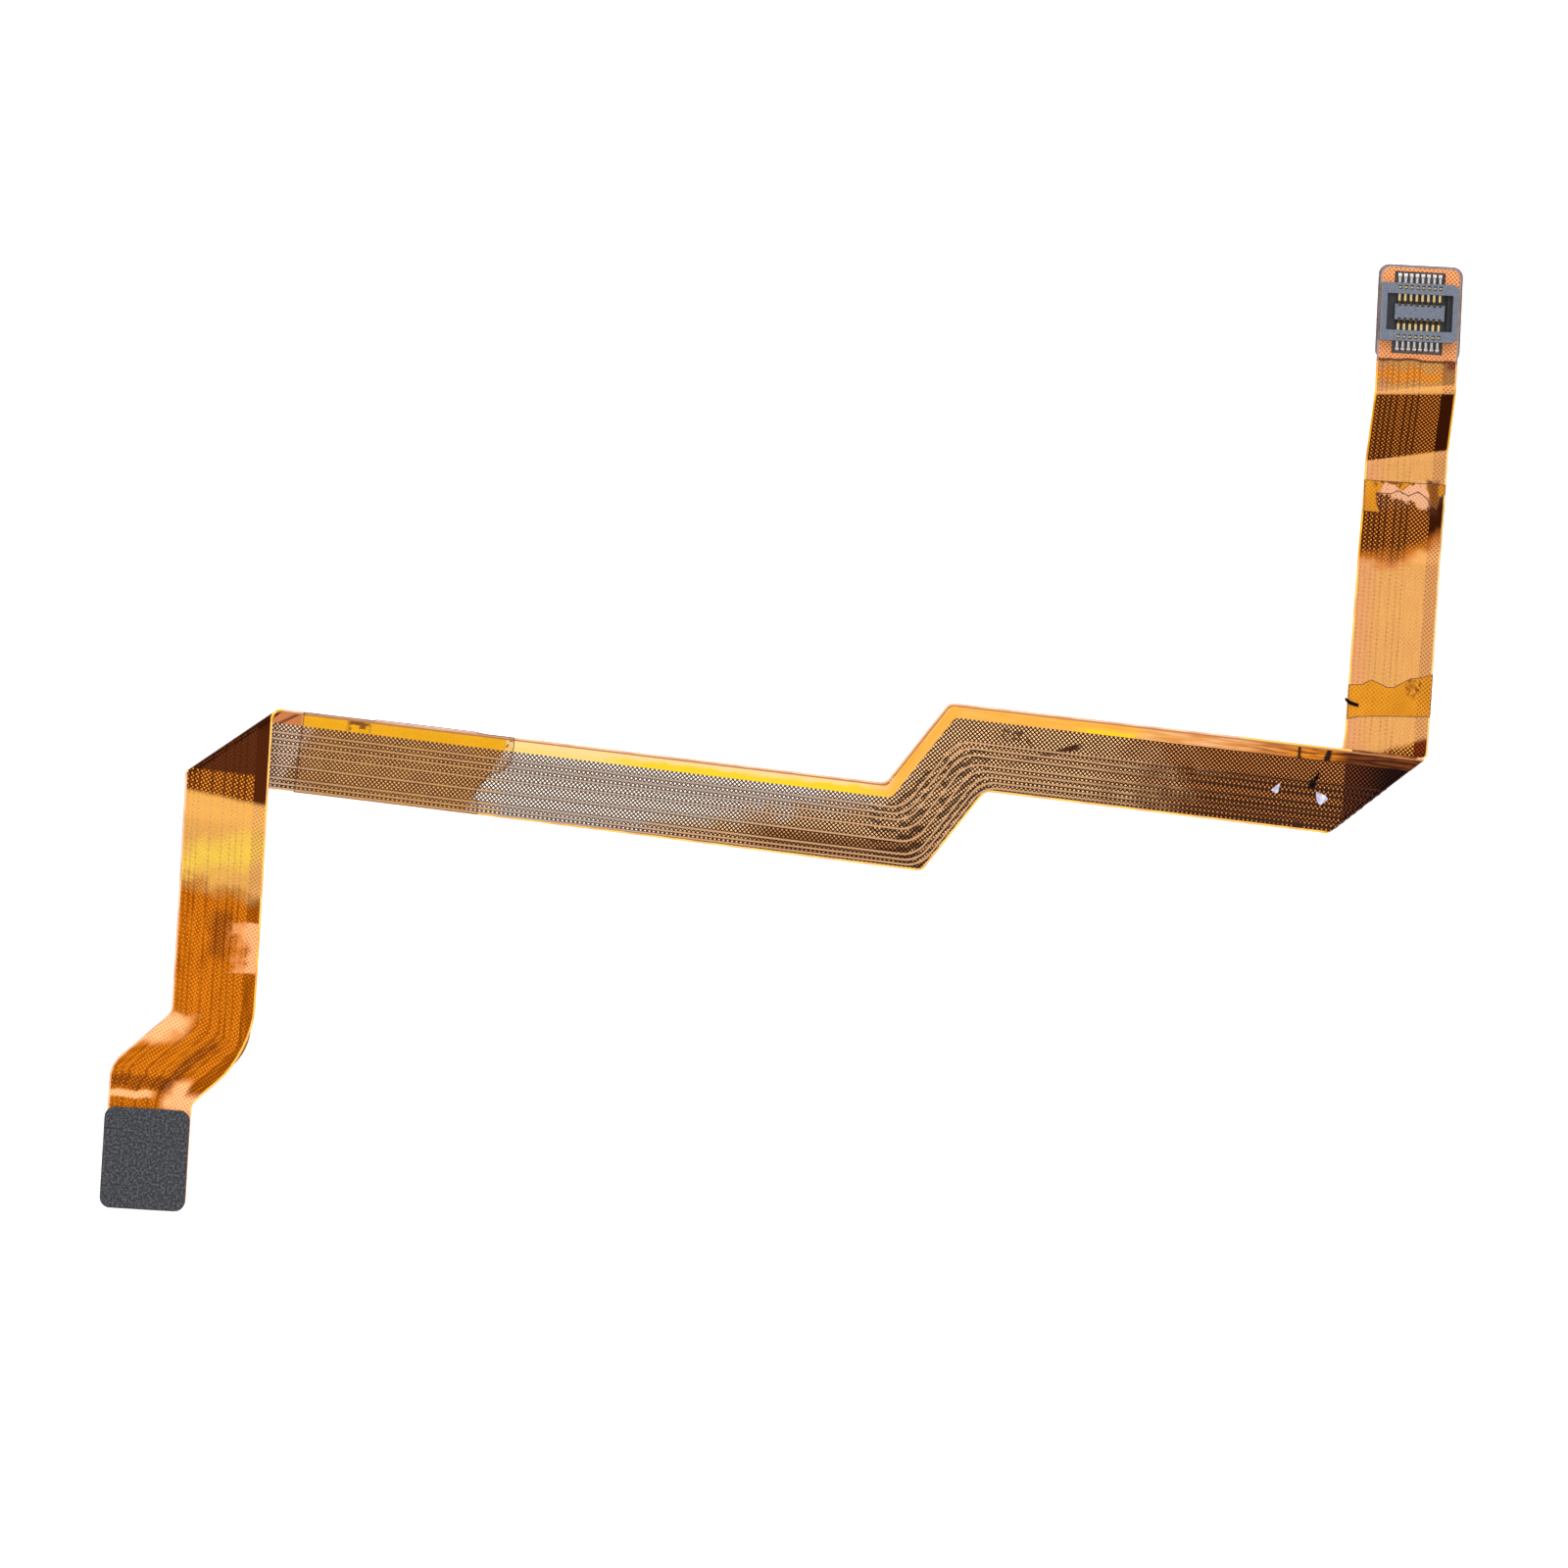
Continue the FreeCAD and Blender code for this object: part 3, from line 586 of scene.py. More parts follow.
def left_tones(at):
    """Tones of the left leg: its wires, its openings where light comes through and
    where a track lies behind, how much it mirrors, its gloss and its roughness,
    with painted shade and a painted highlight band."""
    s, d, wander, streak = at.s, at.d, at.wander, at.streak
    # Painted shade over the far part of the leg; the film there is also rougher and has no
    # gloss.
    dull_shade = (s + 0.22 * d + 0.9 * wander + 0.5 * streak).fade(14.9, 16.9)
    pale = (0.85 * (s + 0.3 * wander).band(17.9, 22.2, 0.12)
            * (d + 2.0 * wander - 0.35 * abs(s - 20.5)).fade(2.4, 0.4)
            + (s + 0.8 * wander).band(26.2, 28.6, 0.5) * (d + wander).fade(4.6, 6.2)
            + (s + 0.3 * wander).band(32.9, 33.5, 0.15) * d.fade(3.0, 4.0)
            + (s - 1.2 * d.fade(1.6, 0.8)).fade(31.4, 32.3) * (d + wander).fade(2.9, 1.7))
    # Darker patches within that painted shade.
    deeper_shade = ((s + wander).band(31.5, 32.8, 0.3) * (d + wander).fade(2.2, 3.4)
              + (s + wander).band(28.5, 33.0, 0.8) * (d + 0.4 * wander).band(2.3, 3.3, 0.4)
              + (s + wander).band(17.0, 21.0, 1.0) * (d + wander).band(2.6, 4.4, 0.6))
    # Painted shade on the stretch next to the left fold.
    dark = (s + 0.15 * d + 0.15 * wander).fade(7.9, 7.3)
    # Painted shade in the openings where the run lies behind the leg.
    doubled = (at.x - 0.1414 * at.y).fade(-59.35, -59.1)
    # Painted highlight: a brighter golden band across the lit stretch of the leg.
    golden = (s + 1.2 * wander - 0.25 * d).band(9.9, 12.3, 1.4)
    # Wire colours in the painted shade.
    shaded_wire = (0.5 + 0.9 * streak).blend(colour(136, 62, 2), colour(190, 108, 14))
    wire = golden.blend(colour(192, 142, 62), colour(205, 168, 52))
    wire = dull_shade.blend(wire, shaded_wire)
    wire = (0.75 * deeper_shade * dull_shade).blend(wire, colour(104, 46, 8))
    wire = pale.blend(wire, colour(234, 172, 112))
    wire = dark.blend(wire, colour(66, 28, 8))
    window = golden.blend(colour(210, 134, 44), colour(232, 178, 44))
    window = dull_shade.blend(window, colour(204, 114, 12))
    window = (0.5 * deeper_shade * dull_shade).blend(window, colour(128, 62, 12))
    window = pale.blend(window, colour(198, 116, 70))
    window = dark.blend(window, colour(214, 126, 30))
    window = doubled.blend(window, dark.blend(colour(176, 108, 58), colour(76, 34, 10)))
    backed = dull_shade.blend(colour(170, 96, 60), colour(112, 50, 6))
    backed = pale.blend(backed, colour(206, 116, 84))
    backed = dark.blend(backed, colour(56, 22, 8))
    gloss = 0.4 * (1 - dull_shade) * (1 - dark)
    return wire, window, backed, 1 - pale, gloss, 0.2 + 0.4 * dull_shade


def torn_patch(at):
    """1 where torn-off tape has left pale glue, on and beside the higher tape."""
    return ((at.s + 1.6 * at.wander).band(23.0, 24.4, 0.12)
            * (at.d + at.wander).band(1.5, 5.4, 0.2))


def glue_stain(at):
    """1 in the brown stain at the outer edge of the higher tape."""
    return ((at.s + at.wander).band(22.0, 24.9, 0.3)
            * (at.d + 0.6 * at.wander).band(0.5, 1.5, 0.2))


def right_tones(at):
    """The same for the right leg, whose end lies over its black pad instead, with painted
    shade on its slopes, next to its fold and along a crease, and a painted lit tone where
    it is turned from the sky.
    """
    s, d, wander, streak = at.s, at.d, at.wander, at.streak
    blotch = (s + 0.9 * wander).band(34.45, 35.2, 0.25) * d.fade(0.6, 1.6)
    # Painted shade along a crease at the pad's edge, wider towards the outer edge.
    crease = ((s + 0.3 * wander).band(36.0, 36.25, 0.1)
              + (s + 0.5 * wander).band(35.3, 36.2, 0.3) * d.fade(1.5, 0.6))
    # Painted shade on the stretch next to the right fold.
    corner = (s + 0.45 * d + 0.6 * wander).fade(3.2, 2.4)
    # Painted lit tone, not mirrored, on the stretches turned away from the sky.
    turned = s.band(17.7, 24.3, 0.2) + (s + 0.13 * d).band(27.6, 34.3, 0.1)
    # Painted shade, half and then full, where the leg slopes away from the sky.
    sloping = s + 2.25 * d.fade(0.0, 4.5) + 1.2 * wander
    half_shaded = sloping.fade(18.9, 20.3) * s.fade(24.6, 24.0)
    shaded = sloping.fade(19.7, 21.3) * s.fade(24.6, 24.0)
    shaded = shaded + (s + 0.19 * d).fade(27.6, 27.9) * (s + 0.05 * d).fade(33.6, 33.4)
    past_pad = s.fade(right_pad_start - 0.05, right_pad_start + 0.05)
    # Marked: the painted crease shade together with the real glue stain.
    marked = crease + glue_stain(at)
    torn = torn_patch(at)
    wire = (0.5 + streak).blend(colour(172, 122, 60), colour(186, 136, 68))
    wire = d.fade(4.8, 6.8).blend(wire, colour(182, 126, 74))
    wire = turned.blend(wire, colour(204, 148, 84))
    wire = half_shaded.blend(wire, colour(166, 92, 22))
    wire = shaded.blend(wire, colour(46, 15, 2))
    wire = blotch.blend(wire, colour(186, 106, 10))
    wire = corner.blend(wire, colour(58, 22, 8))
    wire = marked.blend(past_pad.blend(wire, colour(214, 146, 92)), colour(70, 34, 20))
    wire = torn.blend(wire, colour(206, 152, 116))
    window = d.fade(4.8, 6.8).blend(colour(206, 134, 60), colour(200, 124, 70))
    window = half_shaded.blend(window, colour(190, 108, 36))
    window = blotch.blend(window, colour(232, 140, 30))
    window = shaded.blend(window, colour(208, 124, 48))
    window = corner.blend(window, colour(226, 150, 60))
    window = marked.blend(past_pad.blend(window, colour(158, 78, 44)), colour(92, 50, 26))
    window = torn.blend(window, colour(186, 130, 96))
    backed = shaded.blend(colour(146, 72, 46), colour(56, 20, 4))
    backed = corner.blend(backed, colour(130, 52, 20))
    mirror = (1 - past_pad) * (1 - turned) * (1 - marked)
    gloss = 0.4 * (1 - corner) * mirror
    return wire, window, backed, mirror, gloss, 0.2 + 0.2 * blotch


def lit_mesh(at, insets, wire, window, backed):
    """Colour of copper mesh with light from below in the openings that no track lies
    behind, and where those openings are."""
    power_edge = power_inset + power_width
    half = signal_width / 2
    behind = at.d.fade(power_edge + track_blur, power_edge - track_blur)
    for inset in insets:
        reach = abs(at.d - (inset + half))
        behind = behind + 0.8 * reach.fade(half + 0.06, half - 0.04)
    opening = mesh_openings(at.flat)
    free = opening * (1 - behind)
    return free.blend((opening * behind).blend(wire, backed), window), free


def copper_side(name, insets, tones):
    """Face B: copper mesh under amber film, which mirrors the sky where it lies flat."""
    material, start, shader = new_material(name, Coat_Roughness=0.1,
                                           Specular_IOR_Level=0.1)
    at = FilmPlace(start)
    wire, window, backed, mirror, gloss, roughness = tones(at)
    base, free = lit_mesh(at, insets, wire, window, backed)
    drive(shader, "Base Color", base)
    drive(shader, "Metallic", (1 - free) * mirror)
    drive(shader, "Roughness", roughness)
    drive(shader, "Coat Weight", gloss)
    drive(shader, "Normal", soft_swells(start))
    return material


def run_tone_and_shade(at):
    """How far the face of the run goes from grey to brown, further right and further in
    from the edge, and how far it is painted dark with shade towards the right fold.
    """
    brown = (at.x + 4.0 * at.d + 6.0 * at.wander).fade(-2.0, 12.0)
    return brown, (at.x + 5.0 * at.wander).fade(15.0, 29.0)


def track_side(name):
    """Face A: dark copper mesh under amber film, with light from below in it, and painted
    shade towards the right fold and where the right leg lies behind.
    """
    material, start, shader = new_material(name, Roughness=0.3, Coat_Weight=0.02,
                                           Coat_Roughness=0.1, Specular_IOR_Level=0.02)
    at = FilmPlace(start)
    x, d, wander = at.x, at.d, at.wander
    speck = specks(at.flat)
    taped = (x - 0.5 * at.y).band(-48.9, -32.4, 0.3)
    # brown: greyer near the edge on the left, browner further right and in; dark: painted
    # shade towards the right fold.
    brown, dark = run_tone_and_shade(at)
    # Painted shade in the openings where the right leg lies behind the run.
    doubled = (x + 0.056 * at.y).fade(right_doubled - 0.1, right_doubled + 0.1)
    past_step = 0.5 * x.fade(-1.5, 0.5) + 0.5 * x.fade(4.5, 6.5)
    borders = sum(abs(d - (left + signal_width / 2 + (right - left) * past_step))
                  .fade(0.17, 0.12) for left, right in zip(signal_left, signal_right))
    low_rows = (x + wander).band(-11.0, 4.0, 2.0) * d.fade(4.2, 5.6)
    smear = (x.band(9.6, 16.4, 0.4) * x.fade(8.0, 16.0)
             * abs(d + 0.4 * speck + 0.38 * x - 8.63).fade(0.34, 0.1))
    soot = (0.8 * (x + wander).band(9.2, 12.0, 0.5) * (d + wander).band(1.6, 2.6, 0.2)
            * speck.fade(0.0, 0.2)
            + (x + 0.4 * speck).band(35.5, 36.2, 0.1) * d.fade(6.4, 6.7)
            + 0.5 * (x + wander).band(32.6, 34.4, 0.2) * d.fade(6.3, 6.8))
    tape_cut = 0.8 * x.band(-50.76, -50.6, 0.03)
    wire = brown.blend(colour(64, 48, 38), colour(24, 9, 3))
    wire = taped.blend(wire, colour(24, 11, 4))
    wire = dark.blend(wire, colour(10, 3, 1))
    window = x.fade(-47.0, -48.5).blend(colour(242, 226, 212), colour(236, 198, 166))
    window = brown.blend(window, colour(236, 184, 132))
    window = low_rows.blend(window, colour(172, 116, 70))
    window = taped.blend(window, colour(216, 164, 112))
    window = dark.blend(window, colour(186, 114, 58))
    window = doubled.blend(window, x.fade(39.5, 43.5).blend(colour(112, 54, 26),
                                                            colour(40, 14, 12)))
    opening = mesh_openings(at.flat)
    base = (opening * (1 - 0.7 * borders * (1 - 0.8 * dark))).blend(wire, window)
    base = (smear + soot + tape_cut).blend(base, colour(54, 28, 16))
    drive(shader, "Base Color", d.fade(0.36, 0.3).blend(base, colour(160, 106, 70)))
    drive(shader, "Normal", soft_swells(start))
    return material


def margin_film(name, light, deep, gloss, amber=None):
    """Bare film without copper, glossy, with the floor showing through and the light and
    shade of its stretch painted into its tone; it looks amber in one stretch of its leg,
    where it doesn't mirror the sky."""
    material, start, shader = new_material(name, Roughness=0.25, Coat_Weight=gloss,
                                           Coat_Roughness=0.1, Specular_IOR_Level=gloss)
    edge = start.node("ShaderNodeUVMap", {"uv_map": "edge"}, {})
    tone = (ripple(edge) + streaks(edge)).fade(-0.3, 0.4).blend(light, deep)
    if amber:
        s = start.node("ShaderNodeSeparateXYZ", {}, {0: edge})
        stretch = s.band(*amber, 0.15) * s.beside("Y").fade(2.0, 1.0)
        tone = stretch.blend(tone, colour(228, 162, 28))
    drive(shader, "Base Color", tone)
    return material


film_finishes = {
    "amber_margin": margin_film("amber_margin", colour(236, 168, 30),
                                colour(214, 138, 16), 0.8, (27.7, 33.4)),
    "track_side": track_side("track_side"),
    "left_copper_side": copper_side("left_copper_side", signal_left, left_tones),
    "right_copper_side": copper_side("right_copper_side", signal_right, right_tones),
    "pale_margin": margin_film("pale_margin", colour(212, 164, 122),
                               colour(190, 136, 98), 0.8, (30.0, 41.0)),
    "shaded_margin": margin_film("shaded_margin", colour(140, 80, 24),
                                 colour(92, 46, 14), 0.1),
    "olive_margin": margin_film("olive_margin", colour(206, 166, 96),
                                colour(196, 150, 70), 0.8, (27.7, 33.4)),
    "mauve_margin": margin_film("mauve_margin", colour(150, 122, 112),
                                colour(126, 98, 90), 0.8)}
film_piece = cable_piece("folded_film", film, film_place,
                         [film_finishes[name] for name in finishes])
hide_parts("flex_film")

# Tracks: etched copper under the cover film of face A, one wide power track along the
# outer edge and eight narrow signal tracks, folded with the film.
track_start = 35.01
track_end = 35.57
power_step_radius = 0.6
track_step_radius = 2.2
track_jog_radius = 4.0


def track_line(inset_left, inset_right, step_radius):
    """Corners of one edge of a track, with the radius of each."""
    turn = left_jog_start - inset_left * jog_lean
    slanting = heading(step_angle - 90) * (0.5 * (inset_left + inset_right))
    run_left = Vector((0, -inset_left, 0))
    run_right = Vector((step_run, step_offset - inset_right, 0))
    flat = Vector((1, 0, 0))
    right_line = heading(run_right_heading)
    step_line = heading(step_angle)
    return [
        (left_leg.at(track_start, inset_left + left_jog_offset), 0),
        (left_leg.at(turn + jog_run, inset_left + left_jog_offset), 1.0),
        (left_leg.at(turn, inset_left), track_jog_radius),
        (crossing(left_leg.at(0, inset_left), left_leg.along, run_left, flat), 0),
        (crossing(slanting, step_line, run_left, flat), step_radius),
        (crossing(slanting, step_line, run_right, right_line), step_radius),
        (crossing(right_leg.at(0, inset_right), right_leg.along, run_right,
                  right_line), 0),
        (right_leg.at(track_end, inset_right), 0),
    ]


def track_piece(node, inset_left, inset_right, width, step_radius, material):
    """One copper track, standing just proud of face A."""
    upper = track_line(inset_left, inset_right, step_radius)
    lower = track_line(inset_left + width, inset_right + width, step_radius)
    strip = flat_sheet(upper + lower[::-1])
    cut_across(strip)
    thicken(strip, film_thickness / 2, film_thickness / 2 + track_height)
    flat_maps(strip)
    fold_up(strip)
    piece = cable_piece(node + "_copper", strip, film_place, [material])
    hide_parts(node)


def power_tones(at):
    """Tones of the wide track: bright where it mirrors the sky, amber under the tape,
    a painted lit tone and glow further right, where it no longer mirrors, and painted
    shade going brown and dark towards the right fold, with scuffs and two dark marks."""
    x, d, wander, streak = at.x, at.d, at.wander, at.streak
    upper = x.fade(-20.0, -26.0) * 0.7 + (d + 0.4 * wander).fade(0.9, 0.5)
    tone = upper.blend(colour(206, 174, 26), colour(210, 180, 118))
    # Past the mirrored stretch: a painted lit tone, then a painted glow, then painted
    # shade going brown and dark towards the right fold.
    tone = (x + wander).fade(-3.0, 2.0).blend(
        tone, (0.5 + 1.5 * streak).blend(colour(206, 144, 46), colour(206, 154, 72)))
    tone = ((x + wander).band(16.2, 21.0, 1.2) * d.fade(0.6, 0.9)).blend(
        tone, colour(214, 172, 34))
    tone = (x + 4.0 * wander).fade(19.0, 26.0).blend(
        tone, (0.5 + 1.5 * streak).blend(colour(188, 116, 52), colour(202, 152, 104)))
    tone = (x + wander).fade(28.0, 36.0).blend(
        tone, (0.5 + 2.0 * streak).blend(colour(112, 50, 8), colour(192, 116, 28)))
    tone = x.fade(38.2, 39.8).blend(
        tone, (0.5 + 2.0 * streak).blend(colour(48, 16, 6), colour(100, 50, 12)))
    tone = x.band(-50.7, -33.0, 0.1).blend(tone, colour(212, 154, 0))
    tape_cut = (x + 1.6 * d).band(-50.9, -50.5, 0.2)
    tone = x.fade(-50.5, -50.9).blend(
        tone, tape_cut.blend(colour(166, 98, 52), colour(84, 40, 20)))
    rough = x + 0.5 * wander
    scuffs = ((rough.band(-46.6, -44.8, 0.3) + rough.band(-33.4, -32.4, 0.3))
              * (3.0 * wander + streak).fade(0.1, 0.5))
    tone = scuffs.blend(tone, colour(104, 52, 10))
    marks = ((x + 0.3 * wander).band(35.2, 35.5, 0.12)
             + rough.band(37.5, 38.1, 0.15))
    return marks.blend(tone, colour(30, 14, 8))


power_copper, start, shader = new_material("power_copper", Roughness=0.22,
                                           Specular_IOR_Level=0.05)
at = FilmPlace(start)
mirrors = at.x.fade(10.0, 6.0)
drive(shader, "Base Color", power_tones(at))
drive(shader, "Metallic", mirrors)
drive(shader, "Coat Weight", 0.2 * mirrors)
drive(shader, "Normal", soft_swells(start))
signal_copper, start, shader = new_material("signal_copper",
                                            Roughness=0.3, Metallic=1.0,
                                            Coat_Weight=0.1, Coat_Roughness=0.08)
at = FilmPlace(start)
brown, dark = run_tone_and_shade(at)
lines = brown.blend(colour(166, 146, 131), colour(190, 146, 106))
lines = at.x.fade(-49.0, -50.5).blend(lines, colour(184, 150, 124))
lines = at.x.band(-49.5, -33.0, 1.0).blend(lines, colour(192, 148, 100))
# Painted shade: the signal tracks go dark towards the right fold.
drive(shader, "Base Color", dark.blend(lines, colour(60, 32, 14)))
drive(shader, "Normal", soft_swells(start))
track_piece("power_track", power_inset, power_inset, power_width, power_step_radius,
            power_copper)
for index, (inset_left, inset_right) in enumerate(zip(signal_left, signal_right)):
    track_piece("signal_track_%d" % (index + 1), inset_left, inset_right,
                signal_width, track_step_radius, signal_copper)

# Tape: scraps of the thin amber adhesive tape that held the cable down, cut straight on
# one side and torn on the other, with a brown line of old adhesive at the edge.
tape_thickness = 0.05
run_tape = (
    (0.0, 0.0), (6.05, 0.0), (6.35, 0.1), (14.95, 0.1), (15.75, 0.0), (18.35, 0.0),
    (18.45, -0.7), (18.3, -2.2), (17.55, -3.1), (16.55, -3.5), (15.95, -4.3),
    (15.45, -5.2), (15.85, -5.9), (16.0, -7.02), (-0.05, -7.02),
)
low_leg_tape = (
    (0.65, 0.0), (0.6, 0.5), (0.45, 3.7), (0.25, 6.3), (0.0, 7.2), (3.0, 7.25),
    (3.1, 6.1), (3.55, 5.3), (3.25, 4.5), (2.98, 3.9), (3.05, 3.3), (3.45, 2.6),
    (3.87, 1.93), (3.97, 1.2), (4.35, 0.0),
)
high_leg_tape = (
    (0.0, 0.05), (0.0, 7.1), (-2.75, 7.0), (-2.75, 5.5), (-2.0, 5.9), (-1.1, 5.95),
    (-1.1, 4.7), (-0.8, 4.1), (-1.2, 3.2), (-0.8, 2.4), (-1.3, 1.6), (-1.9, 1.2),
    (-2.2, 0.7), (-1.2, 0.45), (-0.8, 0.05),
)
run_tape_start = 1.5 - run_left_length
low_tape_start = 3.85
high_tape_start = right_leg_length - 19.55
tape_edge = 0.07
tape_gap = 0.003
clear_tape, start, shader = new_material("clear_tape", Roughness=0.2, Alpha=0.08,
                                         Specular_IOR_Level=0.1)
edge = start.node("ShaderNodeUVMap", {"uv_map": "edge"}, {})
drive(shader, "Base Color", ripple(edge).fade(-0.4, 0.4).blend(colour(150, 90, 30),
                                                               colour(186, 124, 48)))
amber_tape, start, shader = new_material("amber_tape", Roughness=0.4,
                                         Coat_Roughness=0.1, Specular_IOR_Level=0.1)
at = FilmPlace(start)
speck = specks(at.flat)
scuffs = (at.s.band(24.2, 25.3, 0.2) * at.d.band(1.0, 6.2, 0.4)
          * (speck + at.wander).fade(0.0, 0.2))
stain = (glue_stain(at) + (at.s + at.wander).band(6.2, 7.7, 0.3)
         * (at.d + at.wander).band(1.1, 2.2, 0.2) * speck.fade(-0.2, 0.2))
marked = 0.85 * scuffs + 0.8 * stain
torn = torn_patch(at)
wire = (0.5 + at.wander).blend(colour(180, 116, 18), colour(198, 132, 26))
wire = torn.blend(marked.blend(wire, colour(92, 42, 12)), colour(206, 152, 116))
window = marked.blend(colour(172, 100, 12), colour(104, 50, 14))
window = torn.blend(window, colour(190, 134, 100))
backed = marked.blend(colour(132, 66, 16), colour(76, 34, 10))
drive(shader, "Base Color", lit_mesh(at, signal_right, wire, window, backed)[0])
drive(shader, "Normal", soft_swells(start))
tape_rim, start, shader = new_material("tape_rim", Roughness=0.5, Alpha=0.85)
edge = start.node("ShaderNodeUVMap", {"uv_map": "edge"}, {})
drive(shader, "Base Color", streaks(edge).fade(-0.3, 0.3).blend(colour(70, 34, 12),
                                                                colour(120, 66, 24)))


def tape_piece(node, points, low, high, tape):
    """One torn scrap of tape, folded with the film."""
    sheet = flat_sheet([(point, 0) for point in points])
    rim = bmesh.ops.inset_region(sheet, faces=sheet.faces[:], thickness=tape_edge,
                                 use_even_offset=True, use_boundary=True)["faces"]
    for face in rim:
        face.material_index = 1
    cut_across(sheet)
    thicken(sheet, low, high)
    flat_maps(sheet)
    fold_up(sheet)
    piece = cable_piece(node + "_scrap", sheet, film_place, [tape, tape_rim])
    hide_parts(node)


over = film_thickness / 2 + track_height + tape_gap
under = -film_thickness / 2
tape_piece("run_tape", [Vector((run_tape_start + x, y, 0)) for x, y in run_tape],
           over, over + tape_thickness, clear_tape)
tape_piece("low_leg_tape", [right_leg.at(low_tape_start + s, t) for s, t in low_leg_tape],
           under - tape_thickness, under, amber_tape)
tape_piece("high_leg_tape",
           [right_leg.at(high_tape_start + s, t) for s, t in high_leg_tape],
           under - tape_thickness, under, amber_tape)

# Crumbs: bits of torn white liner paper and of dark adhesive that stuck to the cable
# when it was pulled off what held it.
pale_crumb, start, shader = new_material("pale_crumb", Roughness=0.7)
fibres = grain(start, 1800.0, 2.0).fade(0.35, 0.65)
drive(shader, "Base Color", fibres.blend(colour(146, 142, 162), colour(198, 194, 210)))
dark_crumb, start, shader = new_material("dark_crumb", Roughness=0.6,
                                         Specular_IOR_Level=0.02)
lumps = grain(start, 2500.0, 2.0).fade(0.4, 0.7)
drive(shader, "Base Color", lumps.blend(colour(8, 5, 4), colour(34, 24, 18)))


def dress(node, material):
    """Gives a node of the frame its finish; its mesh stays as it is."""
    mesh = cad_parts[node].data
    mesh.materials.clear()
    mesh.materials.append(material)


dress("pale_fleck", pale_crumb)
dress("wide_fleck", pale_crumb)
dress("dark_fleck", dark_crumb)
dress("grey_fleck", dark_crumb)

# Backing pads: matte black foam-faced pads, stuck behind each socket with grey
# adhesive, which press it down on its plug.
socket_inset = 4.0
right_socket_shift = 0.1
cell_depth = 0.00003
left_socket_t = left_middle + left_jog_offset
right_socket_t = right_middle - right_leg_taper / 2 + right_socket_shift


def socket_axes(leg, length, t, mouth_up):
    """Centre of a socket's seat in the row frame, and its directions out of the film
    and along the leg."""
    seat = leg.at(length - socket_inset, t)
    side = -1 if mouth_up else 1
    low = folded(seat + Vector((0, 0, side * film_thickness / 2)))
    high = folded(seat + Vector((0, 0, side * (film_thickness / 2 + 1))))
    ahead = folded(seat + leg.along * 0.5 + Vector((0, 0, side * film_thickness / 2)))
    return low * MM + film_place, (high - low).normalized(), (ahead - low).normalized()


def pad_foam(name, out):
    """Black foam, with grey adhesive on the side that is stuck to the film."""
    material, start, shader = new_material(name, Roughness=0.85)
    cells = grain(start, 5000.0, 2.0)
    normal = start.node("ShaderNodeTexCoord", {}, {}, "Normal")
    facing = start.node("ShaderNodeVectorMath", {"operation": "DOT_PRODUCT"},
                        {0: normal, 1: tuple(out)}, "Value")
    foam = cells.fade(0.4, 0.7).blend(colour(26, 27, 31), colour(72, 73, 79))
    adhesive = cells.fade(0.3, 0.7).blend(colour(92, 84, 86), colour(124, 112, 112))
    drive(shader, "Base Color", facing.fade(0.8, 0.9).blend(foam, adhesive))
    drive(shader, "Normal", start.node("ShaderNodeBump", {},
                                       {"Height": cells, "Distance": cell_depth}))
    return material


socket_places = {
    "left": socket_axes(left_leg, left_leg_length, left_socket_t, False),
    "right": socket_axes(right_leg, right_leg_length, right_socket_t, True)}
for side, (_, out, _) in socket_places.items():
    dress(side + "_backing_pad", pad_foam(side + "_pad_foam", out))

# Sockets: moulded grey housings with an island in the middle and two rows of bent
# gold-plated contacts, whose feet are soldered to bare lands with tin.
# Painted shade in each socket: it starts this far above the film, in mm, and is full from
# the next height down.
cavity_top = 0.95
cavity_dark = 0.75
tin_start = 2.3
tin_full = 2.6
contact_count = 16


def reach_from(start, centre, axis):
    """How many millimetres each point lies from a centre, along one axis."""
    place = start.node("ShaderNodeTexCoord", {}, {}, "Object")
    offset = start.node("ShaderNodeVectorMath", {"operation": "SUBTRACT"},
                        {0: place, 1: tuple(centre)})
    return start.node("ShaderNodeVectorMath", {"operation": "DOT_PRODUCT"},
                      {0: offset, 1: tuple(axis / MM)}, "Value")


def housing_plastic(name, seat, out):
    """Matte grey moulding, with painted shade down in its cavity and slots."""
    material, start, shader = new_material(name, Roughness=0.45)
    speckle = grain(start, 9000.0, 1.0).fade(0.3, 0.7)
    face = speckle.blend(colour(76, 82, 94), colour(98, 104, 117))
    cavity = reach_from(start, seat, out).fade(cavity_top, cavity_dark)
    drive(shader, "Base Color", cavity.blend(face, colour(20, 21, 29)))
    return material


def plated_metal(name, seat, along):
    """Gold plate in the socket, tinned by the solder at the feet."""
    material, start, shader = new_material(name, Roughness=0.3, Metallic=1.0)
    tinned = abs(reach_from(start, seat, along)).fade(tin_start, tin_full)
    drive(shader, "Base Color", tinned.blend(colour(236, 206, 148), colour(214, 212, 212)))
    return material


tin, start, shader = new_material("tin_solder", Roughness=0.3, Metallic=1.0)
crystals = grain(start, 4000.0, 1.0).fade(0.3, 0.7)
drive(shader, "Base Color", crystals.blend(colour(206, 204, 204), colour(240, 240, 242)))
for side, (seat, out, along) in socket_places.items():
    dress(side + "_socket_housing", housing_plastic(side + "_housing", seat, out))
    dress(side + "_solder_joints", tin)
    gold = plated_metal(side + "_gold", seat, along)
    for number in range(1, contact_count + 1):
        dress("%s_contact_%02d" % (side, number), gold)

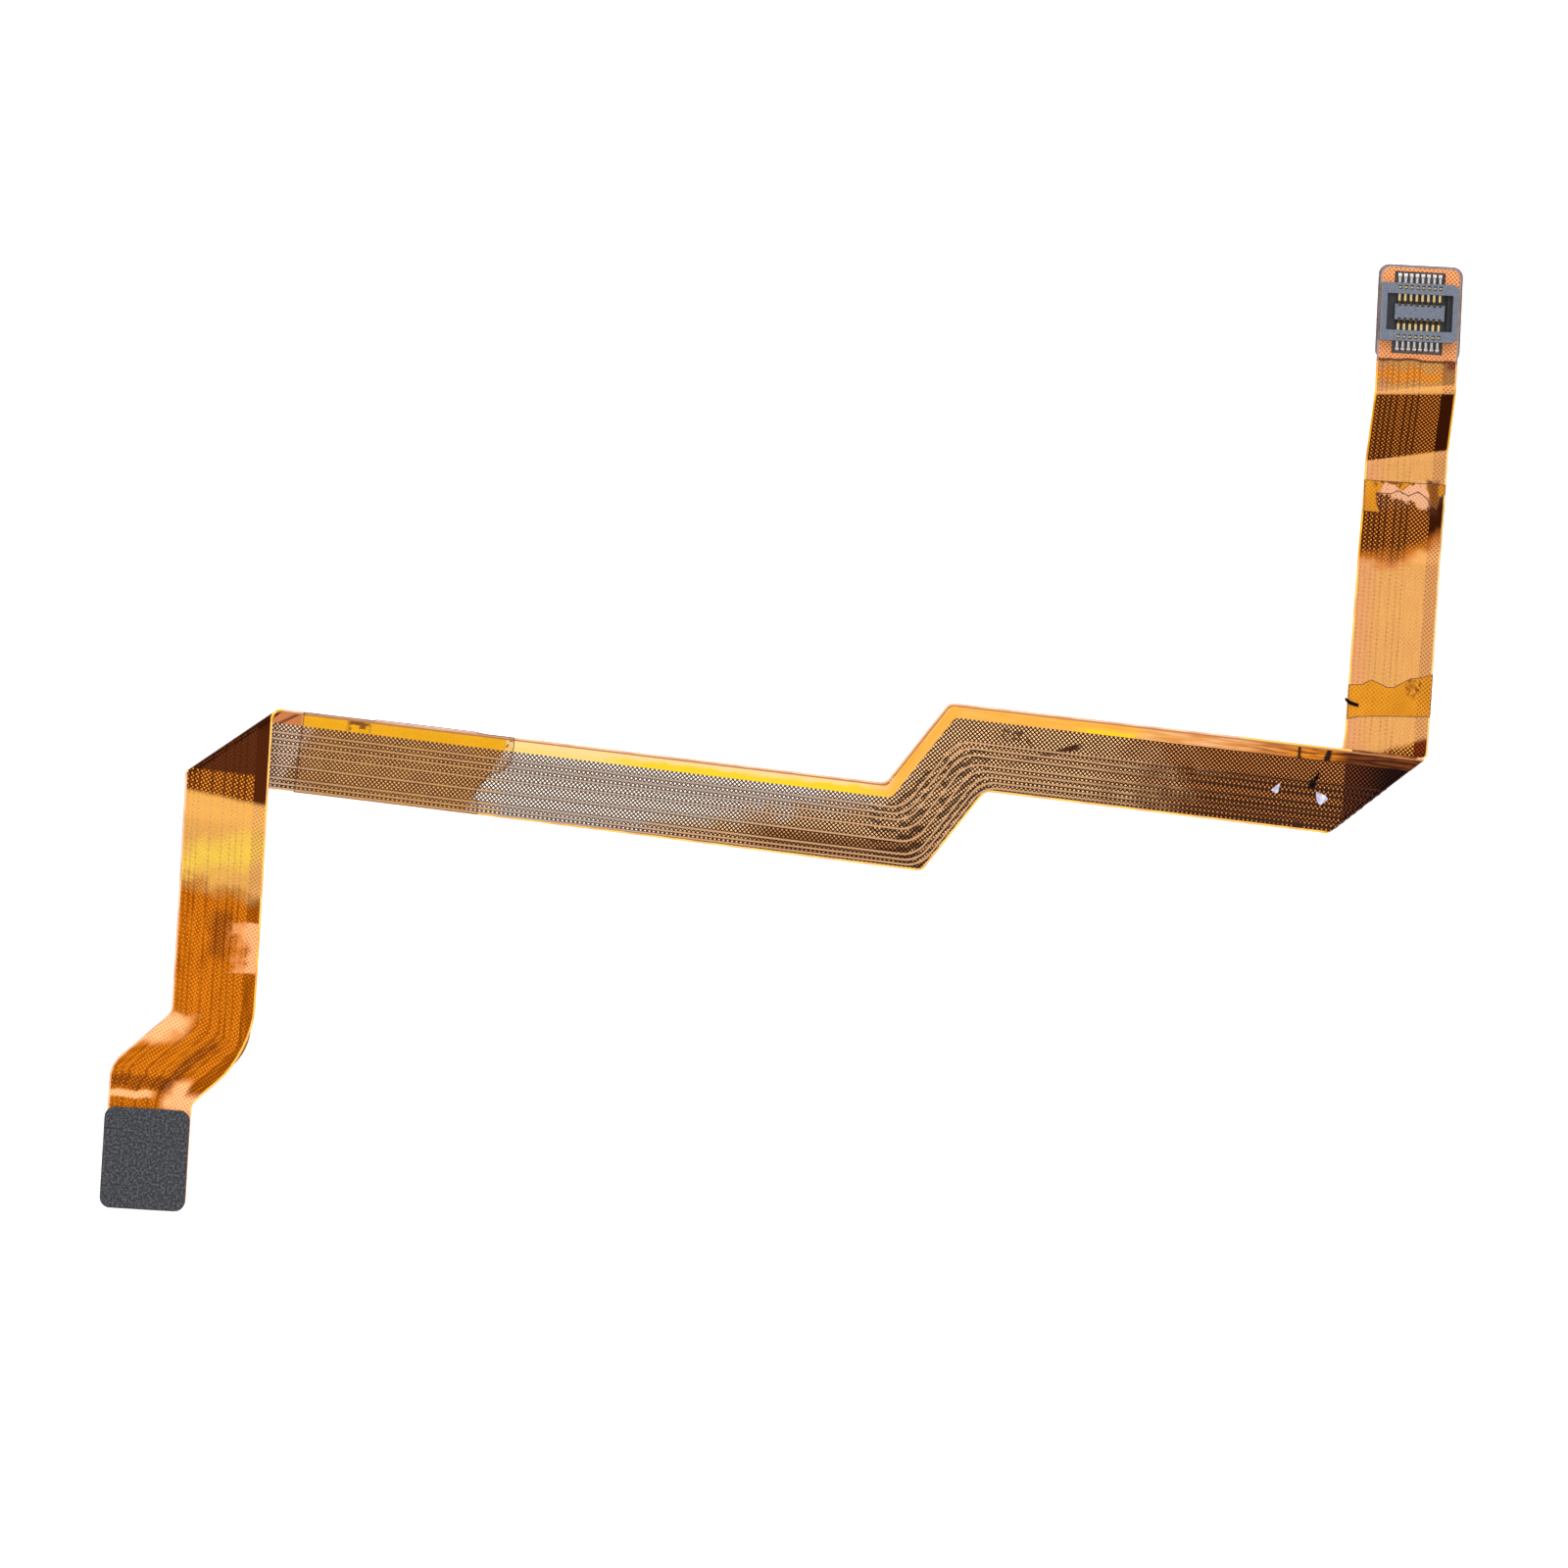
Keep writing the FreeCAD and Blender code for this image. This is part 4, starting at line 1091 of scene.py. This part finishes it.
# Land windows: where the cover film is cut away round each row of solder joints, with
# the dark adhesive of the sheet showing between the lands. Lengths are from the middle
# of the socket.
window_reach = 2.2
window_near = 2.2
window_far = 3.55
window_skin = 0.006
dark_adhesive, start, shader = new_material("dark_adhesive", Roughness=0.4)
edge = start.node("ShaderNodeUVMap", {"uv_map": "edge"}, {})
drive(shader, "Base Color", ripple(edge).fade(-0.3, 0.3).blend(colour(34, 24, 24),
                                                               colour(64, 48, 46)))


def window_piece(name, leg, s, t, low, high):
    """Two dark windows, one on each side of a socket's middle."""
    for number, side in ((1, 1), (2, -1)):
        near, far = side * window_near, side * window_far
        corners = ((near, -window_reach), (far, -window_reach), (far, window_reach),
                   (near, window_reach))
        sheet = flat_sheet([(leg.at(s + along, t + across), 0)
                            for along, across in corners])
        thicken(sheet, low, high)
        flat_maps(sheet)
        fold_up(sheet)
        piece = cable_piece("%s_%d" % (name, number), sheet, film_place, [dark_adhesive])


window_piece("right_window", right_leg, right_leg_length - socket_inset, right_socket_t,
             under - window_skin, under)
window_piece("left_window", left_leg, left_leg_length - socket_inset, left_socket_t,
             -under, window_skin - under)

# Stage: a plain pale floor, soft lights low on three sides, and a bright patch of
# sky straight overhead, which the film mirrors wherever it lies flat.
floor_size = 3.0
floor_drop = 0.00002
floor_glow = 0.4
bpy.ops.mesh.primitive_plane_add(size=floor_size, location=(0, 0, -floor_drop))
floor = bpy.context.object
floor.name = "floor"
paper, start, shader = new_material("paper", Base_Color=(0.9, 0.9, 0.9, 1.0),
                                    Roughness=0.9, Emission_Strength=floor_glow)
floor.data.materials.append(paper)

patch_lean = math.radians(5)
patch_edge = math.radians(14)
patch_core = math.radians(10)
patch_light = (2.0, 2.0, 2.0, 1.0)
sky_light = (0.05, 0.05, 0.055, 1.0)
world = bpy.data.worlds.new("studio")
bpy.context.scene.world = world
world.use_nodes = True
sky = Shade(world.node_tree)
direction = sky.node("ShaderNodeTexCoord", {}, {}, "Generated")
overhead = (0, -math.sin(patch_lean), math.cos(patch_lean))
nearness = sky.node("ShaderNodeVectorMath", {"operation": "DOT_PRODUCT"},
                    {0: direction, 1: overhead}, "Value")
patch = nearness.fade(math.cos(patch_edge), math.cos(patch_core))
background = world.node_tree.nodes["Background"]
world.node_tree.links.new(patch.blend(sky_light, patch_light).socket,
                          background.inputs["Color"])
light_size = 1.4
light_power = 19.0
light_distance = 1.2
light_elevation = 32


def soft_light(name, azimuth):
    """A square soft light that looks at the cable from one side."""
    light = bpy.data.lights.new(name, "AREA")
    light.shape = "SQUARE"
    light.size = light_size
    light.energy = light_power
    lamp = bpy.data.objects.new(name, light)
    turn = math.radians(azimuth)
    rise = math.radians(light_elevation)
    back = Vector((math.cos(turn) * math.cos(rise), math.sin(turn) * math.cos(rise),
                   math.sin(rise)))
    lamp.location = back * light_distance
    lamp.rotation_mode = "QUATERNION"
    lamp.rotation_quaternion = back.to_track_quat("Z", "Y")
    bpy.context.scene.collection.objects.link(lamp)


for name, azimuth in (("left_light", 180), ("right_light", 0), ("back_light", 90)):
    soft_light(name, azimuth)

# Camera: straight above the cable and far off, as in the photograph, turned a little
# about its own line of sight.
view_x = -0.00008
view_y = -0.00392
view_width = 0.13582
view_turn = 6.95
view_distance = 1.2
sensor_width = 36.0
camera_data = bpy.data.cameras.new("camera")
camera_data.sensor_width = sensor_width
camera_data.lens = sensor_width * view_distance / view_width
camera = bpy.data.objects.new("camera", camera_data)
camera.location = (view_x, view_y, view_distance)
camera.rotation_euler = (0, 0, math.radians(view_turn))
bpy.context.scene.collection.objects.link(camera)
bpy.context.scene.camera = camera
bpy.context.scene.view_settings.view_transform = "Standard"
